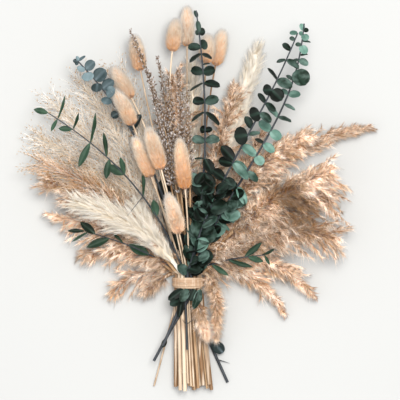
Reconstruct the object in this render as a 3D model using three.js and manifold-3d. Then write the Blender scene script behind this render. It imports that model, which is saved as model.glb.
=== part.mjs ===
// A tied bunch of dried pampas grass with bunny tails, flower spikes and eucalyptus.
// It lies on its back on a table. Millimetres, +Z up. The origin is on the table under
// the middle of the raffia tie, and +Y runs along the stems towards the heads.
import * as THREE from "three";
import { mergeVertices } from "three/addons/utils/BufferGeometryUtils.js";
import Module from "manifold-3d";

const wasm = await Module();
wasm.setup();

// The tie: an oval ring of raffia strands, flattened where it rests on the table.
const tie = { halfWidth: 18.4, halfHeight: 16.0, wall: 2.6, band: 13, strands: 3, ridge: 0.7, flatten: 0.5 };
const tieHeight = tie.halfHeight - tie.flatten;

// How the stalks share the room: the step between stations along a stalk, and the gap kept.
const spacing = {
  step: 4, gap: 1.0, rounds: 700, refresh: 10, sideShare: 0.5, orderBias: 0.4,
  held: 10, soften: 14, slack: 0.3,
};
const packing = { gap: 0.6, rounds: 900, pull: 0.01, wallGap: 0.45, fill: 0.84 };
const cutLength = 116;
const cutSpread = 1.5;
const clearOf = 0.75;

// Each kind of plant: the stalk's radius, the room its head takes, and its colour.
const kinds = {
  reed: { stalk: 2.05, core: 3.2, room: 5.2, colour: 0xb98a66, roughness: 0.9 },
  pampas: { stalk: 2.2, core: 4.2, room: 7.0, colour: 0xe9dcc4, roughness: 0.95 },
  bunnyTail: { stalk: 0.9, core: 6.4, room: 8.6, colour: 0xe3bd8e, roughness: 0.95 },
  spike: { stalk: 1.0, core: 1.3, room: 3.4, colour: 0x9a8877, roughness: 0.9 },
  airy: { stalk: 1.0, core: 1.3, room: 2.2, colour: 0xcfbfa6, roughness: 0.9 },
  dollarLeaf: { stalk: 1.6, core: 1.1, room: 2.6, colour: 0x3c5a50, roughness: 0.6 },
  willowLeaf: { stalk: 1.2, core: 0.8, room: 1.4, colour: 0x3f6b52, roughness: 0.6 },
};

// Every stalk: the tip of its head, the way it leaves the tie and the way it points at the
// tip (degrees from +Y towards +X, seen from above), and the head's length.
const stalks = [
  {
    name: "reed_left_band", kind: "reed", tip: [-168, 113, 30], leave: -38, arrive: -82, head: 150, spread: 26,
  },
  {
    name: "reed_left_low", kind: "reed", tip: [-158, 74, 17], leave: -44, arrive: -86, head: 130, spread: 24,
  },
  {
    name: "reed_left_droop", kind: "reed", tip: [-128, 30, 12], leave: -50, arrive: -108, head: 110, spread: 24,
  },
  {
    name: "reed_left_hang", kind: "reed", tip: [-82, -8, 10], leave: -50, arrive: -138, head: 90, spread: 24,
  },
  {
    name: "reed_left_short", kind: "reed", tip: [-48, -12, 16], leave: -52, arrive: -150, head: 60, spread: 16,
  },
  {
    name: "reed_right_high", kind: "reed", tip: [146, 174, 44], leave: 20, arrive: 66, head: 150, spread: 26,
  },
  {
    name: "reed_right_top", kind: "reed", tip: [206, 171, 13], leave: 28, arrive: 90, head: 180, spread: 26,
  },
  {
    name: "reed_right_upper", kind: "reed", tip: [184, 132, 56], leave: 36, arrive: 76, head: 150, spread: 26,
  },
  {
    name: "reed_right_middle", kind: "reed", tip: [188, 98, 24], leave: 42, arrive: 92, head: 150, spread: 26,
  },
  {
    name: "reed_right_droop", kind: "reed", tip: [190, 38, 40], leave: 46, arrive: 126, head: 160, spread: 27,
  },
  {
    name: "reed_right_low", kind: "reed", tip: [139, -14, 15], leave: 48, arrive: 152, head: 140, spread: 25,
  },
  {
    name: "reed_right_hang", kind: "reed", tip: [106, -34, 13], leave: 50, arrive: 160, head: 110, spread: 20,
  },
  {
    name: "reed_back_middle", kind: "reed", tip: [56, 230, 22], leave: 9, arrive: 14, head: 120, spread: 22,
  },
  { name: "reed_back_left", kind: "reed", tip: [-14, 244, 26], leave: -6, arrive: 0, head: 110, spread: 18 },
  { name: "reed_under_tie", kind: "reed", tip: [30, -68, 26], leave: 58, arrive: 184, head: 60, spread: 6 },
  {
    name: "pampas_front", kind: "pampas", tip: [-140, 94, 66], leave: -28, arrive: -76, head: 160, spread: 26,
    trim: 20,
  },
  {
    name: "pampas_back_right", kind: "pampas", tip: [79, 266, 11], leave: 15, arrive: 16, head: 150, spread: 24,
    trim: 12,
  },
  {
    name: "pampas_back_middle", kind: "pampas", tip: [4, 246, 13], leave: 4, arrive: -2, head: 130, spread: 22,
    trim: 8,
  },
  { name: "airy_top", kind: "airy", tip: [-80, 236, 15], leave: -14, arrive: -24, head: 150, spread: 54 },
  { name: "airy_upper", kind: "airy", tip: [-122, 226, 24], leave: -22, arrive: -38, head: 160, spread: 56 },
  {
    name: "airy_middle", kind: "airy", tip: [-153, 202, 32], leave: -28, arrive: -52, head: 165, spread: 56,
  },
  {
    name: "airy_side", kind: "airy", tip: [-172, 164, 15], leave: -32, arrive: -68, head: 160, spread: 52,
    end: [-38, -116, 4],
  },
  { name: "airy_low", kind: "airy", tip: [-172, 134, 42], leave: -36, arrive: -78, head: 150, spread: 50 },
  { name: "bunny_top", kind: "bunnyTail", tip: [-1, 302, 17], leave: -1, arrive: 0, head: 38 },
  { name: "bunny_top_left", kind: "bunnyTail", tip: [-13, 287, 34], leave: -6, arrive: 12, head: 31 },
  { name: "bunny_top_right", kind: "bunnyTail", tip: [38, 276, 16], leave: 8, arrive: 15, head: 34 },
  { name: "bunny_right", kind: "bunnyTail", tip: [22, 270, 34], leave: 5, arrive: 4, head: 28 },
  { name: "bunny_left_top", kind: "bunnyTail", tip: [-59, 269, 36], leave: -12, arrive: -10, head: 36 },
  { name: "bunny_left_upper", kind: "bunnyTail", tip: [-81, 234, 42], leave: -14, arrive: -38, head: 36 },
  { name: "bunny_left", kind: "bunnyTail", tip: [-79, 208, 62], leave: -18, arrive: -33, head: 40 },
  { name: "bunny_low_left", kind: "bunnyTail", tip: [-57, 156, 72], leave: -16, arrive: -27, head: 44 },
  { name: "bunny_low", kind: "bunnyTail", tip: [-42, 166, 86], leave: -10, arrive: -20, head: 44 },
  { name: "bunny_middle", kind: "bunnyTail", tip: [-9, 154, 86], leave: 1, arrive: -9, head: 52 },
  { name: "bunny_front", kind: "bunnyTail", tip: [-21, 94, 76], leave: -5, arrive: -19, head: 44 },
  { name: "spike_far_left", kind: "spike", tip: [-63, 276, 56], leave: -6, arrive: -27, head: 170 },
  { name: "spike_left", kind: "spike", tip: [-44, 232, 62], leave: -8, arrive: -14, head: 130 },
  { name: "spike_middle", kind: "spike", tip: [-33, 248, 50], leave: -5, arrive: -9, head: 150 },
  { name: "spike_inner", kind: "spike", tip: [-22, 226, 66], leave: -4, arrive: -6, head: 130 },
  { name: "spike_right", kind: "spike", tip: [-11, 234, 54], leave: -2, arrive: -4, head: 140 },
  { name: "spike_far_right", kind: "spike", tip: [-1, 210, 66], leave: 0, arrive: -2, head: 110 },
  {
    name: "eucalyptus_middle", kind: "dollarLeaf", tip: [9, 297, 84], leave: 11, arrive: -9, head: 300,
    pairs: { first: 10, last: 106, step: 16, long: 21, short: 18, broad: 0.9, turn: 0, lean: 12, open: 32 },
    blades: [
      [9, 290, 7, 297, 5, 30, 0], [11, 275, 10, 286, 6, 20, 3], [12, 272, 19, 274, 9, -10, 2],
      [12, 272, 8, 272, 6, 10, 0], [12, 258, 0, 256, 12, 40, 2], [12, 258, 21, 262, 13, -25, 2],
      [12, 250, 2, 240, 11, 65, 0], [12, 250, 26, 244, 11, -65, 0], [15, 236, 24, 239, 7, -70, 2],
      [16, 230, 3, 231, 15, 45, 2], [16, 230, 30, 232, 15, -40, 2], [16, 219, 2, 209, 11, 76, 0],
      [16, 219, 35, 214, 13, -50, 2], [19, 197, 5, 197, 15, 50, 2], [19, 197, 34, 200, 16, -45, 2],
      [19, 185, 4, 176, 11, 72, 0], [19, 185, 34, 172, 12, -62, 0], [20, 167, 13, 169, 9, 5, 4],
      [20, 167, 27, 168, 7, -15, 4], [20, 157, 4, 157, 15, 50, 2], [20, 157, 35, 156, 15, -50, 2],
      [19, 136, 7, 136, 10, 75, 0], [19, 136, 27, 119, 12, -20, 5], [18, 121, 9, 108, 12, 30, 5],
      [18, 121, 29, 105, 11, -20, 5], [12, -9, 4, -33, 18, 10, 4], [-2, -9, 0, -22, 12, 10, 5],
    ],
  },
  {
    name: "eucalyptus_right_inner", kind: "dollarLeaf", tip: [119, 272, 90], leave: 12, arrive: 20, head: 300,
    over: 40, end: [-28, -70, 30],
    pairs: { first: 16, last: 110, step: 18.5, long: 23, short: 19, broad: 0.98, turn: 20, lean: 34, open: 50 },
    blades: [
      [118, 271, 110, 272, 7, 40, 0], [117, 265, 110, 267, 9, 55, 0], [112, 254, 102, 260, 10, 45, 2],
      [107, 241, 96, 240, 10, 65, 0], [107, 241, 120, 233, 11, -50, 0], [97, 221, 86, 234, 11, 68, 0],
      [97, 221, 113, 213, 13, -30, 2], [90, 209, 81, 210, 13, 15, 3], [90, 209, 102, 199, 16, -10, 3],
      [83, 196, 76, 207, 11, 55, 0], [83, 196, 95, 187, 11, -50, 0], [78, 186, 67, 182, 17, 10, 4],
      [78, 186, 90, 175, 11, -35, 2], [68, 168, 62, 182, 11, 40, 0], [66, 161, 50, 160, 20, 5, 5],
      [66, 161, 79, 164, 10, -60, 0], [50, 136, 36, 150, 13, 20, 3], [47, 132, 33, 134, 13, 30, 4],
      [47, 132, 65, 113, 13, -40, 2], [37, 116, 26, 124, 12, 20, 4], [37, 116, 52, 107, 11, -40, 2],
      [-8, -16, -20, -25, 11, 20, 4],
    ],
  },
  {
    name: "eucalyptus_right_outer", kind: "dollarLeaf", tip: [127, 284, 66], leave: 20, arrive: 0, head: 300,
    over: 50, end: [-38, -87, 24],
    pairs: { first: 24, last: 62, step: 18.5, long: 22, short: 19, broad: 0.94, turn: 10, lean: 40, open: 55 },
    blades: [
      [127, 276, 123, 284, 7, 30, 0], [127, 276, 132, 277, 6, -30, 0], [125, 271, 130, 265, 9, -20, 3],
      [125, 271, 121, 274, 5, 10, 2], [125, 265, 134, 263, 6, -65, 0], [124, 259, 128, 250, 10, -20, 4],
      [124, 259, 117, 261, 7, 45, 0], [123, 250, 131, 250, 6, -65, 0], [121, 243, 131, 238, 9, -30, 2],
      [121, 243, 114, 242, 6, 50, 0], [119, 232, 128, 216, 20, -10, 5], [114, 220, 107, 227, 9, 60, 0],
      [109, 207, 123, 206, 11, -40, 2], [109, 207, 102, 212, 7, 40, 2], [105, 197, 117, 189, 10, -65, 0],
      [98, 183, 86, 193, 10, 50, 2], [98, 183, 113, 176, 11, -65, 0], [91, 167, 77, 177, 12, 25, 3],
      [91, 167, 101, 157, 12, -20, 4], [84, 154, 94, 143, 11, -30, 4], [84, 154, 73, 158, 9, 60, 0],
      [74, 139, 58, 151, 12, 30, 2], [74, 139, 81, 129, 12, -20, 4], [65, 124, 76, 111, 11, -40, 3],
      [65, 124, 50, 133, 12, 40, 2], [53, 105, 63, 86, 11, -30, 4], [53, 105, 41, 109, 12, 30, 3],
      [42, 86, 50, 66, 13, -20, 5], [42, 86, 26, 88, 11, 60, 3], [32, 69, 45, 57, 11, -70, 3],
      [32, 69, 19, 72, 10, 70, 3], [-9, -20, -5, -42, 12, 10, 2], [-22, -62, -28, -72, 6, 10, 2],
    ],
  },
  {
    name: "eucalyptus_left", kind: "dollarLeaf", tip: [-123, 246, 58], leave: -13, arrive: -47, head: 130,
    over: -90, end: [44, -112, 4],
    blades: [
      [-122, 244, -126, 244, 5, 10, 0], [-120, 243, -122, 249, 5, 40, 0],
      [-119, 242, -112, 249, 6, -55, 0], [-119, 242, -123, 239, 5, 30, 0],
      [-114, 239, -119, 232, 10, 20, 2], [-111, 234, -102, 243, 12, -20, 2],
      [-110, 232, -109, 221, 14, 15, 4], [-102, 224, -90, 234, 16, -15, 2],
      [-99, 220, -100, 209, 13, 15, 4], [-94, 212, -81, 222, 13, -20, 2],
      [-90, 208, -79, 212, 13, -20, 4], [-86, 202, -91, 196, 13, 20, 4], [-77, 188, -84, 182, 10, 20, 2],
      [-67, 175, -57, 177, 10, -30, 2], [-63, 168, -51, 185, 10, -30, 0], [28, -76, 41, -74, 9, 20, 3],
      [32, -88, 47, -91, 2.2, 10, 0],
    ],
  },
  {
    name: "sprig_left_upper", kind: "willowLeaf", tip: [-152, 186, 74], leave: -20, arrive: -60, head: 40,
    over: 20, end: [-1, -74, 33],
    blades: [
      [-151, 185, -168, 190, 7, 10, 0], [-141, 183, -134, 205, 6, 70, 2], [-141, 183, -149, 166, 5, 30, 0],
      [-125, 171, -119, 186, 5, 60, 3], [-125, 171, -141, 169, 7, 20, 0], [-107, 154, -101, 186, 6, 65, 4],
      [-107, 154, -119, 127, 8, 10, 2], [-89, 138, -92, 165, 6, 40, 4], [-88, 136, -89, 114, 8, 10, 3],
      [-69, 117, -89, 129, 10, 15, 5], [-69, 117, -74, 138, 7, 35, 4], [-51, 92, -50, 122, 5, 55, 4],
      [-36, 71, -38, 92, 9, 10, 4], [-51, 92, -70, 69, 1.4, 0, 3], [1, -46, -7, -40, 1.4, 0, 0],
      [1, -46, 13, -36, 1.4, 0, 0],
    ],
  },
  {
    name: "sprig_left_low", kind: "willowLeaf", tip: [-114, 57, 34], leave: -48, arrive: -76, head: 30,
    blades: [
      [-113, 57, -133, 57, 5, 20, 0], [-112, 56, -128, 45, 3.5, 40, 0], [-101, 54, -119, 67, 9, 10, 2],
      [-86, 50, -112, 39, 9, 10, 2], [-42, 33, -66, 42, 12, 15, 4], [-70, 45, -83, 54, 4, 50, 2],
    ],
  },
  {
    name: "sprig_right", kind: "willowLeaf", tip: [84, 31, 56], leave: 44, arrive: 84, head: 30,
    blades: [
      [43, 28, 71, 18, 6, 30, 3], [63, 30, 81, 45, 7, 15, 3], [64, 30, 83, 24, 7, 20, 4],
      [82, 31, 95, 38, 4, 40, 0], [83, 31, 90, 20, 4, 30, 0], [27, 17, 45, 8, 6, 15, 4],
    ],
  },
];

const up = new THREE.Vector3(0, 0, 1);
const radians = THREE.MathUtils.degToRad;
const mix = THREE.MathUtils.lerp;

// A repeatable draw between 0 and 1 for the given stalk and count.
function chance(seed, count) {
  const value = Math.sin(seed * 127.1 + count * 311.7) * 43758.5453;
  return value - Math.floor(value);
}

// Where each stalk passes through the tie: side by side in the order in which they fan
// out, the higher heads nearer the top, then pushed apart like pencils in a cup.
function packSlots() {
  const lining = tie.wall + packing.wallGap;
  const inside = { x: tie.halfWidth - lining, z: tie.halfHeight - lining };
  const rank = (value) => {
    const order = stalks.map((_, i) => i).sort((i, j) => value(stalks[i]) - value(stalks[j]) || i - j);
    return stalks.map((_, i) => order.indexOf(i) / (stalks.length - 1));
  };
  const across = rank((stalk) => stalk.leave);
  const high = rank((stalk) => stalk.tip[2] + (stalk.over ?? 0));
  const slots = stalks.map((stalk, i) => {
    const x = packing.fill * Math.sin(Math.PI * (across[i] - 0.5));
    const z = packing.fill * (2 * high[i] - 1) * Math.sqrt(1 - x * x);
    return { x: x * inside.x, z: z * inside.z, r: kinds[stalk.kind].stalk };
  });
  for (let round = 0; round < packing.rounds; round++) {
    const pull = round < packing.rounds * 0.6 ? 1 - packing.pull : 1;
    slots.forEach((a, i) => {
      a.x *= pull;
      a.z *= pull;
      slots.slice(i + 1).forEach((b) => pushApart(a, b));
    });
    slots.forEach((slot) => holdInside(slot, inside));
  }
  const grow = Math.min(...slots.map((slot) => 1 / Math.max(0.01, wallShare(slot, inside))));
  return slots.map((slot) => new THREE.Vector3(slot.x * grow, 0, tieHeight + slot.z * grow));
}

function pushApart(a, b) {
  const need = a.r + b.r + packing.gap;
  const distance = Math.hypot(a.x - b.x, a.z - b.z) || 1e-6;
  if (distance >= need) return;
  const push = ((need - distance) * 0.5) / distance;
  const x = (a.x - b.x) * push;
  const z = (a.z - b.z) * push;
  a.x += x;
  a.z += z;
  b.x -= x;
  b.z -= z;
}

const wallShare = (slot, inside) => Math.hypot(slot.x / (inside.x - slot.r), slot.z / (inside.z - slot.r));

function holdInside(slot, inside) {
  const share = wallShare(slot, inside);
  if (share > 1) {
    slot.x /= share;
    slot.z /= share;
  }
}

// The route of a stalk before it meets its neighbours: straight through the tie, one
// smooth bend from there to the tip, and straight to the cut end below.
function firstRoute(stalk, index, slot) {
  const kind = kinds[stalk.kind];
  const tip = new THREE.Vector3(...stalk.tip);
  const top = slot.clone().setY(spacing.held);
  const reach = top.distanceTo(tip);
  const swing = 1 / Math.cos(radians(stalk.arrive - stalk.leave) / 4) ** 2;
  const climb = (1.4 * (tip.z - slot.z)) / reach + (stalk.arch ?? 0.12);
  const heading = (angle, rise) =>
    new THREE.Vector3(Math.sin(radians(angle)), Math.cos(radians(angle)), rise)
      .multiplyScalar((reach * swing) / 3);
  const bend = new THREE.CubicBezierCurve3(
    top,
    top.clone().add(heading(stalk.leave, climb)),
    tip.clone().sub(heading(stalk.arrive, -(stalk.fall ?? 0.12))),
    tip,
  );
  const cut = stalk.end
    ? new THREE.Vector3(...stalk.end)
    : new THREE.Vector3(
        slot.x * cutSpread + 6,
        -cutLength + 9 * (chance(index, 2) - 0.5),
        Math.max(kind.stalk, slot.z - tie.wall + tie.flatten),
      );
  const foot = slot.clone().setY(-spacing.held);
  const points = [];
  const below = Math.round(cut.distanceTo(foot) / spacing.step);
  for (let k = 0; k < below; k++) points.push(cut.clone().lerp(foot, k / below));
  for (const share of [-1, -0.5, 0, 0.5]) points.push(slot.clone().setY(share * spacing.held));
  const above = Math.round(bend.getLength() / spacing.step);
  for (let k = 0; k <= above; k++) points.push(bend.getPointAt(k / above));
  soften(points, below + 2);
  const headStart = Math.max(below + 8, points.length - 1 - Math.round(stalk.head / spacing.step));
  const girth = points.map((p, k) => {
    if (k <= headStart) return kind.stalk;
    const tipShare = Math.min(1, (points.length - 1 - k) / 4);
    const baseShare = Math.min(1, (k - headStart) / 4);
    return mix(kind.stalk, kind.room, Math.min(tipShare, baseShare));
  });
  return { ...stalk, index, points, girth, below: below + 2, headStart };
}

// Rounds off the bends where a stalk leaves the tie.
function soften(points, tieIndex) {
  for (let round = 0; round < spacing.soften; round++) {
    const before = points.map((point) => point.clone());
    for (let k = 1; k < points.length - 1; k++) {
      const between = before[k - 1].clone().add(before[k + 1]).multiplyScalar(0.5);
      if (Math.abs(k - tieIndex) > 2) points[k].lerp(between, 0.5);
    }
  }
}

// Pushes the stalks apart until no two are closer than the gap, less a little slack, more
// in height than sideways, keeps them above the table, and leaves them straight in the tie.
function settle(routes) {
  let near = [];
  for (let round = 0; round < spacing.rounds; round++) {
    if (round % spacing.refresh === 0) near = nearStations(routes, 5);
    const early = Math.max(0, 1 - round / 80);
    const moves = routes.map((r) => r.points.map(() => new THREE.Vector3()));
    let worst = 0;
    for (const [a, k, b, m, need] of near)
      worst = Math.max(worst, pushPair(routes[a], k, routes[b], m, need, moves[a][k], moves[b][m], early));
    routes.forEach((route, i) => moveRoute(route, moves[i]));
    if (worst < spacing.slack && round > 100) break;
  }
}

// The stations of different stalks that are, or may soon be, too close.
function nearStations(routes, margin) {
  const near = [];
  for (let a = 0; a < routes.length; a++)
    for (let b = a + 1; b < routes.length; b++)
      routes[a].points.forEach((p, k) => routes[b].points.forEach((q, m) => {
        const need = routes[a].girth[k] + routes[b].girth[m] + spacing.gap;
        if (Math.abs(p.x - q.x) < need + margin && p.distanceTo(q) < need + margin)
          near.push([a, k, b, m, need]);
      }));
  return near;
}

function pushPair(a, k, b, m, need, moveA, moveB, early) {
  const between = a.points[k].clone().sub(b.points[m]);
  const distance = between.length();
  if (distance >= need) return 0;
  const sideShare = mix(1, spacing.sideShare, early);
  between.divideScalar(Math.max(distance, 1e-6));
  between.z += (Math.sign(a.tip[2] - b.tip[2]) || 1) * spacing.orderBias * early;
  between.x *= sideShare;
  between.y *= sideShare;
  between.normalize().multiplyScalar((need - distance) * 0.25);
  moveA.add(between);
  moveB.sub(between);
  const bothHeld = Math.abs(k - a.below) <= 2 && Math.abs(m - b.below) <= 2;
  return bothHeld ? 0 : need - distance;
}

function moveRoute(route, moves) {
  const last = moves.length - 1;
  const before = route.points.map((point) => point.clone());
  route.points.forEach((point, k) => {
    if (Math.abs(k - route.below) <= 2) return;
    const move = moves[k].clone().multiplyScalar(2);
    move.add(moves[Math.max(0, k - 1)]).add(moves[Math.min(last, k + 1)]);
    point.addScaledVector(move, 0.25);
    if (k > 0 && k < last) {
      const middle = before[k - 1].clone().add(before[k + 1]).multiplyScalar(0.5);
      point.addScaledVector(middle.sub(before[k]), 0.05);
    }
    point.z = Math.max(point.z, route.girth[k] + 0.1);
    keepOffTie(point, route.girth[k]);
  });
}

// Moves a point that would cut through the tie's wall up or down along the stalks.
function keepOffTie(point, girth) {
  const edge = tie.band / 2 + girth + 0.6;
  const room = girth + 0.8;
  const share = Math.hypot(point.x / (tie.halfWidth + room), (point.z - tieHeight) / (tie.halfHeight + room));
  if (share < 1 && Math.abs(point.y) < edge) point.y = point.y < 0 ? -edge : edge;
}

// A point on a settled route, with the ways along it, sideways and up, at a station that
// may lie between two points.
function station(route, at) {
  const last = route.points.length - 1;
  const low = Math.min(Math.floor(at), last - 1);
  const point = route.points[low].clone().lerp(route.points[low + 1], at - low);
  const ahead = route.points[Math.min(last, low + 2)].clone()
    .sub(route.points[Math.max(0, low - 1)])
    .normalize();
  const side = ahead.clone().cross(up).normalize();
  return { point, ahead, side, above: side.clone().cross(ahead) };
}

// The stations that a straight-sided tube needs to follow the route within `slack`.
function bendStations(route, from, to, slack) {
  const kept = [from];
  let start = from;
  for (let end = start + 1; end <= to; end++) {
    const a = route.points[start];
    const b = route.points[end];
    const line = new THREE.Line3(a, b);
    let worst = 0;
    for (let k = start + 1; k < end; k++)
      worst = Math.max(worst, line.closestPointToPoint(route.points[k], true, new THREE.Vector3())
        .distanceTo(route.points[k]));
    if (worst > slack || end - start > 20 || Math.abs(end - 1 - route.below) === 2) {
      kept.push(end - 1);
      start = end - 1;
    }
  }
  if (kept[kept.length - 1] !== to) kept.push(to);
  return kept;
}

// The room already taken, as balls on a grid of cells.
const taken = new Map();
const cell = 14;
const cellKey = (x, y, z) => `${Math.floor(x / cell)},${Math.floor(y / cell)},${Math.floor(z / cell)}`;

function take(owner, balls) {
  for (const ball of balls) {
    const key = cellKey(ball.at.x, ball.at.y, ball.at.z);
    if (!taken.has(key)) taken.set(key, []);
    taken.get(key).push({ owner, at: ball.at, r: ball.r });
  }
}

function isClear(owner, balls) {
  for (const { at, r } of balls)
    for (let x = -cell; x <= cell; x += cell)
      for (let y = -cell; y <= cell; y += cell)
        for (let z = -cell; z <= cell; z += cell)
          for (const other of taken.get(cellKey(at.x + x, at.y + y, at.z + z)) ?? [])
            if (other.owner !== owner && at.distanceTo(other.at) < r + other.r + clearOf) return false;
  return true;
}

// Balls along a straight taper from one point to another.
function taperBalls(from, to, startRadius, endRadius) {
  const length = from.distanceTo(to);
  const count = Math.max(2, Math.ceil(length / 1.6));
  return Array.from({ length: count + 1 }, (_, n) => ({
    at: from.clone().lerp(to, n / count),
    r: mix(startRadius, endRadius, n / count),
  }));
}

// How each bristled head is shaped, with u from 0 at its base to 1 at its tip: the number
// of sides, the distance between rings of bristles, the core's radius, and each bristle's
// length and the angle at which it leaves the core.
const heads = {
  reed: {
    sides: 6, ring: 8.2, early: 52,
    core: (u, k) => k.stalk + (k.core - k.stalk) * Math.sin(Math.PI * Math.min(1, u * 1.6)) - 0.9 * u,
    bristle: (u, spread) => (spread + 14) * Math.min(1, 0.4 + 1.9 * u) * (1 - 0.6 * u * u),
    angle: (u) => 40 - 18 * u,
  },
  pampas: {
    sides: 8, ring: 7.6, early: 60,
    core: (u, k) => k.stalk + (k.core - k.stalk) * Math.sin(Math.PI * Math.min(1, u * 1.25)) - 0.6 * u,
    bristle: (u, spread) => (spread + 4) * Math.min(1, 0.35 + 1.6 * u) * (1 - 0.3 * u * u),
    angle: (u) => 28 - 10 * u,
  },
  airy: {
    sides: 6, ring: 9.5,
    core: (u, k) => k.core - 0.6 * u,
    bristle: (u, spread) => spread * Math.min(1, 0.6 + 0.9 * u) * (1 - 0.55 * u * u),
    angle: (u) => 22 + 10 * u,
  },
  spike: {
    sides: 4, ring: 4.6,
    core: (u, k) => k.core - 0.5 * u,
    bristle: (u) => 5.6 - 2.6 * u,
    angle: () => 48,
  },
  bunnyTail: {
    sides: 6, ring: 4.8,
    core: (u, k) => k.stalk + (k.core - k.stalk) * Math.sqrt(Math.sin(Math.PI * mix(0.03, 0.93, u))),
    bristle: (u) => 4.2 + 2.2 * u,
    angle: (u) => 34 - 16 * u,
  },
};

// The rings of one stalk with its head: where each is, its radius, and the length and
// angle of the bristles that stand on it.
function ringsOf(route) {
  const kind = kinds[route.kind];
  const head = heads[route.kind];
  const last = route.points.length - 1;
  const swell = Math.max(route.headStart, 1);
  const start = head.early ? Math.max(route.below + 5, swell - head.early / spacing.step) : swell;
  const rings = bendStations(route, 0, start, 0.22)
    .filter((at) => at < start)
    .map((at) => ({ at, radius: kind.stalk, bristle: 0, angle: 0 }));
  const count = Math.round(((last - start) * spacing.step) / head.ring);
  for (let n = 0; n < count; n++) {
    const u = n / count;
    const at = start + u * (last - start);
    rings.push({
      at,
      radius: at < swell ? kind.stalk : Math.max(0.5, head.core((at - swell) / (last - swell), kind)),
      bristle: n === 0 ? 0 : head.bristle(u, route.spread),
      angle: radians(head.angle(u)),
    });
  }
  return rings;
}

// The corner of a ring at one of its sides, and the tip of the bristle that starts there.
function corner(route, ring, side, sides, share) {
  const turn = (2 * Math.PI * (side + 0.5)) / sides;
  const { point, ahead, side: across, above } = station(route, ring.at);
  const outward = across.clone().multiplyScalar(Math.cos(turn)).addScaledVector(above, Math.sin(turn));
  const root = point.clone().addScaledVector(outward, ring.radius);
  const bristle = ring.bristle * share;
  const end = root.clone()
    .addScaledVector(ahead, bristle * Math.cos(ring.angle))
    .addScaledVector(outward, bristle * Math.sin(ring.angle));
  end.z = Math.max(end.z, 0);
  root.z = Math.max(root.z, 0);
  return { root, end };
}

const holdsBristle = (ring, row, side) => ring.bristle > 0 && (row + side) % 2 === 0;

// Gives each bristle the largest share of its length that stays clear of other stalks.
function growBristles(route) {
  const { sides, ring: ringStep } = heads[route.kind];
  const rings = ringsOf(route);
  const foot = Math.min(ringStep * 0.42, 2.6);
  const shares = rings.map((ring, row) =>
    Array.from({ length: sides }, (_, side) => {
      if (!holdsBristle(ring, row, side)) return 0;
      const full = 0.74 + 0.3 * chance(route.index + 1, row * sides + side);
      for (const part of [1, 0.8, 0.6, 0.42, 0.25]) {
        const { root, end } = corner(route, ring, side, sides, full * part);
        const balls = taperBalls(root, end, foot, 0.3);
        if (isClear(route.name, balls)) {
          take(route.name, balls);
          return full * part;
        }
      }
      return 0.04;
    }),
  );
  return { rings, shares, sides };
}

// One closed surface for a stalk and its bristled head. A bristle is a corner of the grid
// that is pulled out, so each one is a thin four-sided point standing on the core.
function bristledSurface(route) {
  const { rings, shares, sides } = growBristles(route);
  const positions = [];
  rings.forEach((ring, row) => {
    for (let side = 0; side < sides; side++) {
      const { root, end } = corner(route, ring, side, sides, shares[row][side]);
      positions.push(...(holdsBristle(ring, row, side) ? end : root).toArray());
    }
  });
  const butt = positions.length / 3;
  positions.push(...route.points[0].toArray(), ...route.points[route.points.length - 1].toArray());
  const faces = [];
  for (let side = 0; side < sides; side++) {
    const next = (side + 1) % sides;
    faces.push(butt, side, next);
    for (let row = 0; row + 1 < rings.length; row++) {
      const a = row * sides + side;
      const b = row * sides + next;
      const c = a + sides;
      const d = b + sides;
      if ((row + side) % 2 === 0) faces.push(a, c, b, b, c, d);
      else faces.push(a, d, b, a, c, d);
    }
    const top = (rings.length - 1) * sides;
    faces.push(top + next, top + side, butt + 1);
  }
  return new THREE.BufferGeometry()
    .setAttribute("position", new THREE.Float32BufferAttribute(positions, 3))
    .setIndex(faces);
}

// A bare stalk as a closed tube with flat ends.
function tube(route, from, to, sides, radiusAt) {
  const at = bendStations(route, from, to, 0.25);
  const geometry = new THREE.CylinderGeometry(1, 1, 1, sides, at.length - 1);
  const position = geometry.getAttribute("position");
  for (let v = 0; v < position.count; v++) {
    const row = Math.round((position.getY(v) + 0.5) * (at.length - 1));
    const { point, side, above } = station(route, at[row]);
    const radius = radiusAt(at[row]);
    point.addScaledVector(side, position.getX(v) * radius).addScaledVector(above, position.getZ(v) * radius);
    position.setXYZ(v, point.x, point.y, point.z);
  }
  return geometry;
}

// A leaf as a thin cupped lens: its rim is a ring of six points, drawn in to the width
// that a leaf has at that share of its length.
const leafRim = 6;
function leafShape({ base, end, facing, width, cup, fullness, thickness }) {
  const geometry = new THREE.SphereGeometry(1, leafRim, 2);
  const position = geometry.getAttribute("position");
  const along = end.clone().sub(base);
  const length = along.length();
  along.divideScalar(length);
  const across = along.clone().cross(facing).normalize();
  const normal = across.clone().cross(along);
  for (let v = 0; v < position.count; v++) {
    const pole = position.getY(v);
    const isRim = Math.abs(pole) < 0.5;
    const u = isRim ? (1 + position.getX(v)) / 2 : 0.52;
    const edge = isRim ? Math.sign(Math.round(position.getZ(v) * 100)) : 0;
    const half = edge * 0.5 * width * leafWidth(u, fullness);
    const lift = isRim ? cup * Math.abs(half) + cup * 0.5 * length * (u - 0.5) ** 2 : (pole * thickness) / 2;
    const point = base.clone()
      .addScaledVector(along, u * length)
      .addScaledVector(across, half)
      .addScaledVector(normal, lift);
    position.setXYZ(v, point.x, point.y, Math.max(point.z, 0));
  }
  return geometry;
}

function leafWidth(u, fullness) {
  return Math.sin(Math.PI * Math.min(1, Math.max(0, u))) ** (1 / fullness);
}

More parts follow.
